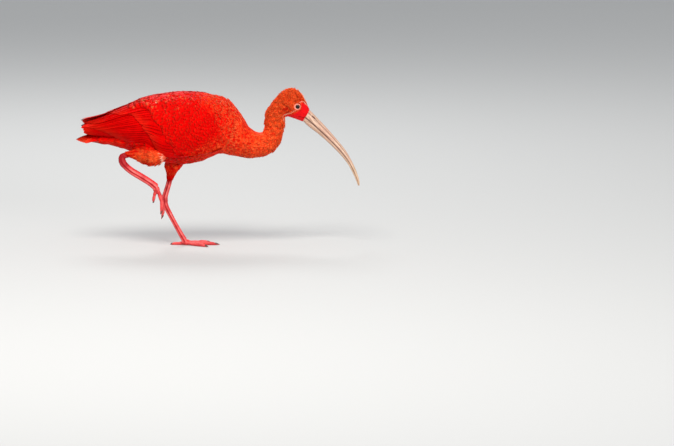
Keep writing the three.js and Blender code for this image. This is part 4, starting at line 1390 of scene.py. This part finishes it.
def bill_half(upper):
    """One half of the bill, with the groove along the upper half and the nostril in it."""
    table = blended_curve(BILL, BILL_RINGS)
    mouth, far = table[:, None, 2:4], table[:, None, 0:2] if upper else table[:, None, 4:6]
    half = table[:, 6:] * (1 if upper else LOWER_SHARE)
    run = np.linspace(0, 1, BILL_RINGS)[:, None]
    turn = np.linspace(0, math.pi, BILL_ROUND)
    shrink = np.ones((BILL_RINGS, 1))
    if upper:
        strength = ramp(run, 0.03, 0.06) * ramp(run, 0.9, 0.5)
        shrink = 1 - GROOVE_DEPTH * strength * fading(np.abs(turn - math.pi / 2) - GROOVE_AT, 0.10)
    wide = np.sign(np.cos(turn)) * np.abs(np.cos(turn)) ** 0.75
    outer = mouth + (np.sin(turn) ** 0.8 * shrink)[..., None] * (far - mouth)
    floor = mouth + (far - mouth) * 0.05
    rings = np.hstack([
        stacked(outer[..., 0], wide * half * shrink, outer[..., 1]),
        stacked(floor[..., 0], np.linspace(-0.9, 0.9, BILL_FLOOR) * half, floor[..., 1]),
    ])
    tip = rings[-1].mean(0)
    ends = [(tip + (rings[-1] - tip) * scale + END_WAY * step)[None] for scale, step in BILL_END]
    rings = np.concatenate([rings, *ends])
    name = "bill_upper_horn" if upper else "bill_lower_horn"
    mesh = grid_mesh(name, rings)
    points = points_of(mesh)

    count, ring_size = rings.shape[:2]
    along = np.append(np.repeat(np.linspace(0, 1, count), ring_size), [0.0, 1.0])
    around = np.append(np.tile(np.linspace(0, 1, ring_size), count), [0.5, 0.5])
    inside = np.append(np.tile(np.arange(ring_size) > BILL_ROUND, count), [False, False])
    angle = np.append(np.tile(np.append(turn, np.zeros(BILL_FLOOR)), count), [0.0, 0.0])
    lip = np.minimum(angle, math.pi - angle)
    # Painted shade on the inside and along the gape; the upper half adds it in the nostril and the groove
    pit = held(inside * 0.9 + 0.95 * ramp(lip, 0.09 + 0.17 * along, 0))
    if upper:
        axis = unit(NOSTRIL_WAY)
        off = points[:, [0, 2]] - NOSTRIL_AT
        lengthwise, crosswise = off @ axis, off @ (-axis[1], axis[0])
        hole = np.exp(-(lengthwise / NOSTRIL_REACH[0]) ** 4 - (crosswise / NOSTRIL_REACH[1]) ** 4)
        hole *= np.abs(points[:, 1]) > 1.5
        points[:, 1] *= 1 - 0.30 * hole
        set_points(mesh, points)
        groove = fading(np.abs(angle - math.pi / 2) - GROOVE_AT, 0.08)
        groove *= ramp(along, 0.05, 0.08) * ramp(along, 0.9, 0.55)
        pit = held(pit + hole * 1.4 + 0.75 * groove)
    for key, values in (("along", along), ("across", around), ("pit", pit)):
        give(mesh, key, values)
    piece = new_object(name, mesh, HORN)
    placed_piece(piece, "bill_horn", "bill_upper" if upper else "bill_lower")


# Legs

# Middle lines of shank with tarsus, the way their front faces, and the toes with their radius
LEG_LINES = {
    "left": [(-26.2, 12.3, 115.5), (-28.9, 11.4, 103), (-32.5, 10.8, 91), (-35.7, 10.4, 80.3),
             (-36.2, 10, 72.5), (-32.6, 8.6, 62), (-19, 4.8, 36.5), (-8, 2.2, 17), (-3.4, 1.2, 9.5)],
    "right": [(-82.8, -28.8, 156.7), (-98.5, -28.5, 155.9), (-106.5, -28.2, 152.3), (-104.4, -28, 142.5),
              (-92, -27, 130.2), (-75.7, -26, 120), (-59.2, -25, 109.5), (-51.4, -24.6, 103.2)],
}
LEG_FRONT = (1.0, 0.0, 0.3)
LEG_SIZE = 4.5
ANKLES = {"left": (-36.2, 10, 74), "right": (-107, -28.3, 151)}
# Reach of the painted shade round each heel
HEEL_SHADOW_REACH = {"left": 7.0, "right": 20.0}
LEG_VOXEL, LEG_SWELL, LEG_ROUNDS = 0.42, 0.3, 14
PLATE_WIDTH = 99.0
# Angles from the front of the plates' edge, the tendon's groove and two painted highlight bands
PLATE_EDGE, TENDON_AT, HIGHLIGHT_AT, REAR_HIGHLIGHT_AT = 0.9, 1.75, 1.15, 2.35


def standing_toe(heading, length, radius):
    rest = radius - 0.6
    way = np.array((math.cos(math.radians(heading)), math.sin(math.radians(heading)), 0))
    stops = [(0, rest + 1.6), (0.35, rest - 0.3), (0.7, rest * 0.8), (1, 1.1)]
    return [tuple(np.array((0, 1, z)) + way * length * share) for share, z in stops], radius


RAISED_ROOT = (-48.3, -24.2, 99)
TOES = {
    "left": [standing_toe(-36, 47, 3.7), standing_toe(-2, 57, 4), standing_toe(33, 49, 3.8),
             standing_toe(176, 27, 3.3)],
    "right": [
        ([RAISED_ROOT, (-42.6, -27.5, 86.7), (-39.3, -31.9, 71.9), (-41.7, -35.2, 56.4)], 3.6),
        ([RAISED_ROOT, (-41.3, -24.2, 84), (-37.3, -24.2, 66), (-40.3, -24.2, 47)], 3.9),
        ([RAISED_ROOT, (-42.3, -20.9, 86.1), (-38.8, -16.5, 70.6), (-41.4, -13.2, 54.3)], 3.7),
        ([RAISED_ROOT, (-51, -24, 91), (-53.2, -23.6, 82), (-54.4, -23.4, 74)], 3.2),
    ],
}
TOE_TOP = {"left": (0.0, 0.0, 1.0), "right": (1.0, 0.0, 0.25)}

CLAW_SPAN = (0.83, 0.995)
CLAW_TAPER = ([0, 0.2, 0.5, 0.8, 1], [0.46, 0.50, 0.40, 0.22, 0.07])


def along_lines(points, lines):
    """Which line is nearest for its size, the run along it, the angle from its front, the distance."""
    best = np.full(len(points), np.inf)
    which = np.zeros(len(points), int)
    run, angle, radius = np.zeros((3, len(points)))
    for index, (line, front, size) in enumerate(lines):
        places, ways, marks = smooth_line(line, 0.5)
        for part in slices(len(points)):
            gap = np.linalg.norm(points[part, None] - places, axis=2)
            near, gap = gap.argmin(1), gap.min(1)
            off, way = points[part] - places[near], ways[near]
            forward = unit(front - (way @ np.array(front))[:, None] * way)
            sideways = np.cross(way, forward)
            closer = gap / size < best[part]
            rows = np.arange(part.start, part.stop)[closer]
            best[rows], which[rows] = (gap / size)[closer], index
            run[rows], radius[rows] = marks[near][closer], gap[closer]
            angle[rows] = np.arctan2((off * sideways).sum(1), (off * forward).sum(1))[closer]
    return which, run, angle, radius


def scale_seams(run, around, length, width):
    """How near each place is to the edge of its scale, in rows set half a scale apart."""
    row = np.floor(run / length)
    across = around / width + 0.5 * (row % 2)
    edge = np.minimum((0.5 - np.abs(run / length - row - 0.5)) * length,
                      (0.5 - np.abs(across - np.floor(across) - 0.5)) * width)
    return held(1 - edge / 0.42) ** 1.5


def make_leg(side):
    """Shank, tarsus and foot in one scaled skin, and a claw on each toe."""
    nodes = [f"shank_{side}", f"tarsus_{side}", f"foot_{side}"]
    leg = one_surface(f"leg_{side}_skin", nodes, LEG_VOXEL, LEG_SWELL, LEG_ROUNDS)
    points, normals = points_of(leg.data), read(leg.data.vertex_normals, "vector", 3)
    toes, top = TOES[side], TOE_TOP[side]
    lines = [(LEG_LINES[side], LEG_FRONT, LEG_SIZE)] + [(line, top, size) for line, size in toes]
    which, run, angle, radius = along_lines(points, lines)
    toe, off_front = which > 0, np.abs(angle)
    plates = scale_seams(run, PLATE_WIDTH / 4, np.where(toe, 2.3, 3.3), PLATE_WIDTH)
    small = scale_seams(run, angle * radius, np.where(toe, 1.5, 2.0), np.where(toe, 1.5, 1.9))
    seam = np.where(off_front < PLATE_EDGE, plates, small)
    seam = np.maximum(seam, fading((off_front - PLATE_EDGE) * radius, 0.35))
    ankle = fading(np.linalg.norm(points - ANKLES[side], axis=1), 9)
    tendon = ~toe * fading(off_front - TENDON_AT, 0.27) * 0.5 * (1 - ankle)
    # Two painted highlight bands along the leg, fainter on the toes and kept off the heel
    light = fading(off_front - HIGHLIGHT_AT, 0.35) * (0.55 + 0.35 * lumps(points, 16, 9))
    light = light * np.where(toe, 0.5, 1) + 0.5 * fading(off_front - REAR_HIGHLIGHT_AT, 0.25) * ~toe
    inwards = LEG_SWELL + 0.24 * seam * (1 - 0.5 * ankle) + tendon
    points = points - normals * inwards[:, None]
    points[:, 2] = np.maximum(points[:, 2], 0.0)
    set_points(leg.data, points)
    # Painted shade round the heel, at the top of the leg under the thigh's feathers, in the tendon's
    # groove and on the rear side; the lumps are uneven mottling
    heel_shadow = held(1.3 - np.linalg.norm(points - ANKLES[side], axis=1) / HEEL_SHADOW_REACH[side])
    shade_under_thigh = ramp(run, 16, 6) * ~toe
    shade = 0.35 * held(lumps(points, 11, 4)) + 0.5 * np.clip(off_front - 2.5, 0, 0.5)
    give(leg.data, "dark", held(0.85 * heel_shadow + 0.9 * shade_under_thigh + 1.9 * tendon + shade))
    give(leg.data, "light", held(light * (1 - heel_shadow)))
    give(leg.data, "seam", seam)
    leg.data.materials.append(LEG)
    placed_piece(leg, "leg_skin", *nodes)
    for number, (line, size) in enumerate(toes, 1):
        claw(f"claw_{side}_{number}", line, size, np.array(top))


def claw(name, line, size, top):
    """A curved claw over the end of a toe, from inside its flesh to the point."""
    places, ways, marks = smooth_line(line, 0.25)
    start, end = np.searchsorted(marks / marks[-1], CLAW_SPAN)
    turn = full_turn(16)
    rings = []
    for share in np.linspace(0, 1, 18):
        k = int(start + (end - start) * share)
        radius = size * np.interp(share, *CLAW_TAPER)
        up = unit(top - (ways[k] @ top) * ways[k])
        side = np.cross(ways[k], up)
        middle = places[k] + up * size * (0.16 * math.sin(math.pi * share) - 0.10 * share)
        rings.append(middle + np.outer(np.cos(turn) * radius * 1.08, up)
                     + np.outer(np.sin(turn) * radius * 0.82, side))
    rings = np.array(rings)
    rings[:, :, 2] = np.maximum(rings[:, :, 2], 0.0)
    placed_piece(new_object(name, grid_mesh(name, rings), CLAW), "leg_skin")


studio()
skin = make_skin()
for index, (name, (blank, spacing, slot)) in enumerate(COATS.items()):
    sow_piece(f"{name}_feathers", skin, slot, blank, spacing, index, 0.16, 1.0, 11 + index)
placed_piece(skin, "body_plumage", *FLESH)
make_wings_and_tail()
clear_blanks()
make_eyes(skin)
for upper in (True, False):
    bill_half(upper)
for side in SIDES:
    make_leg(side)
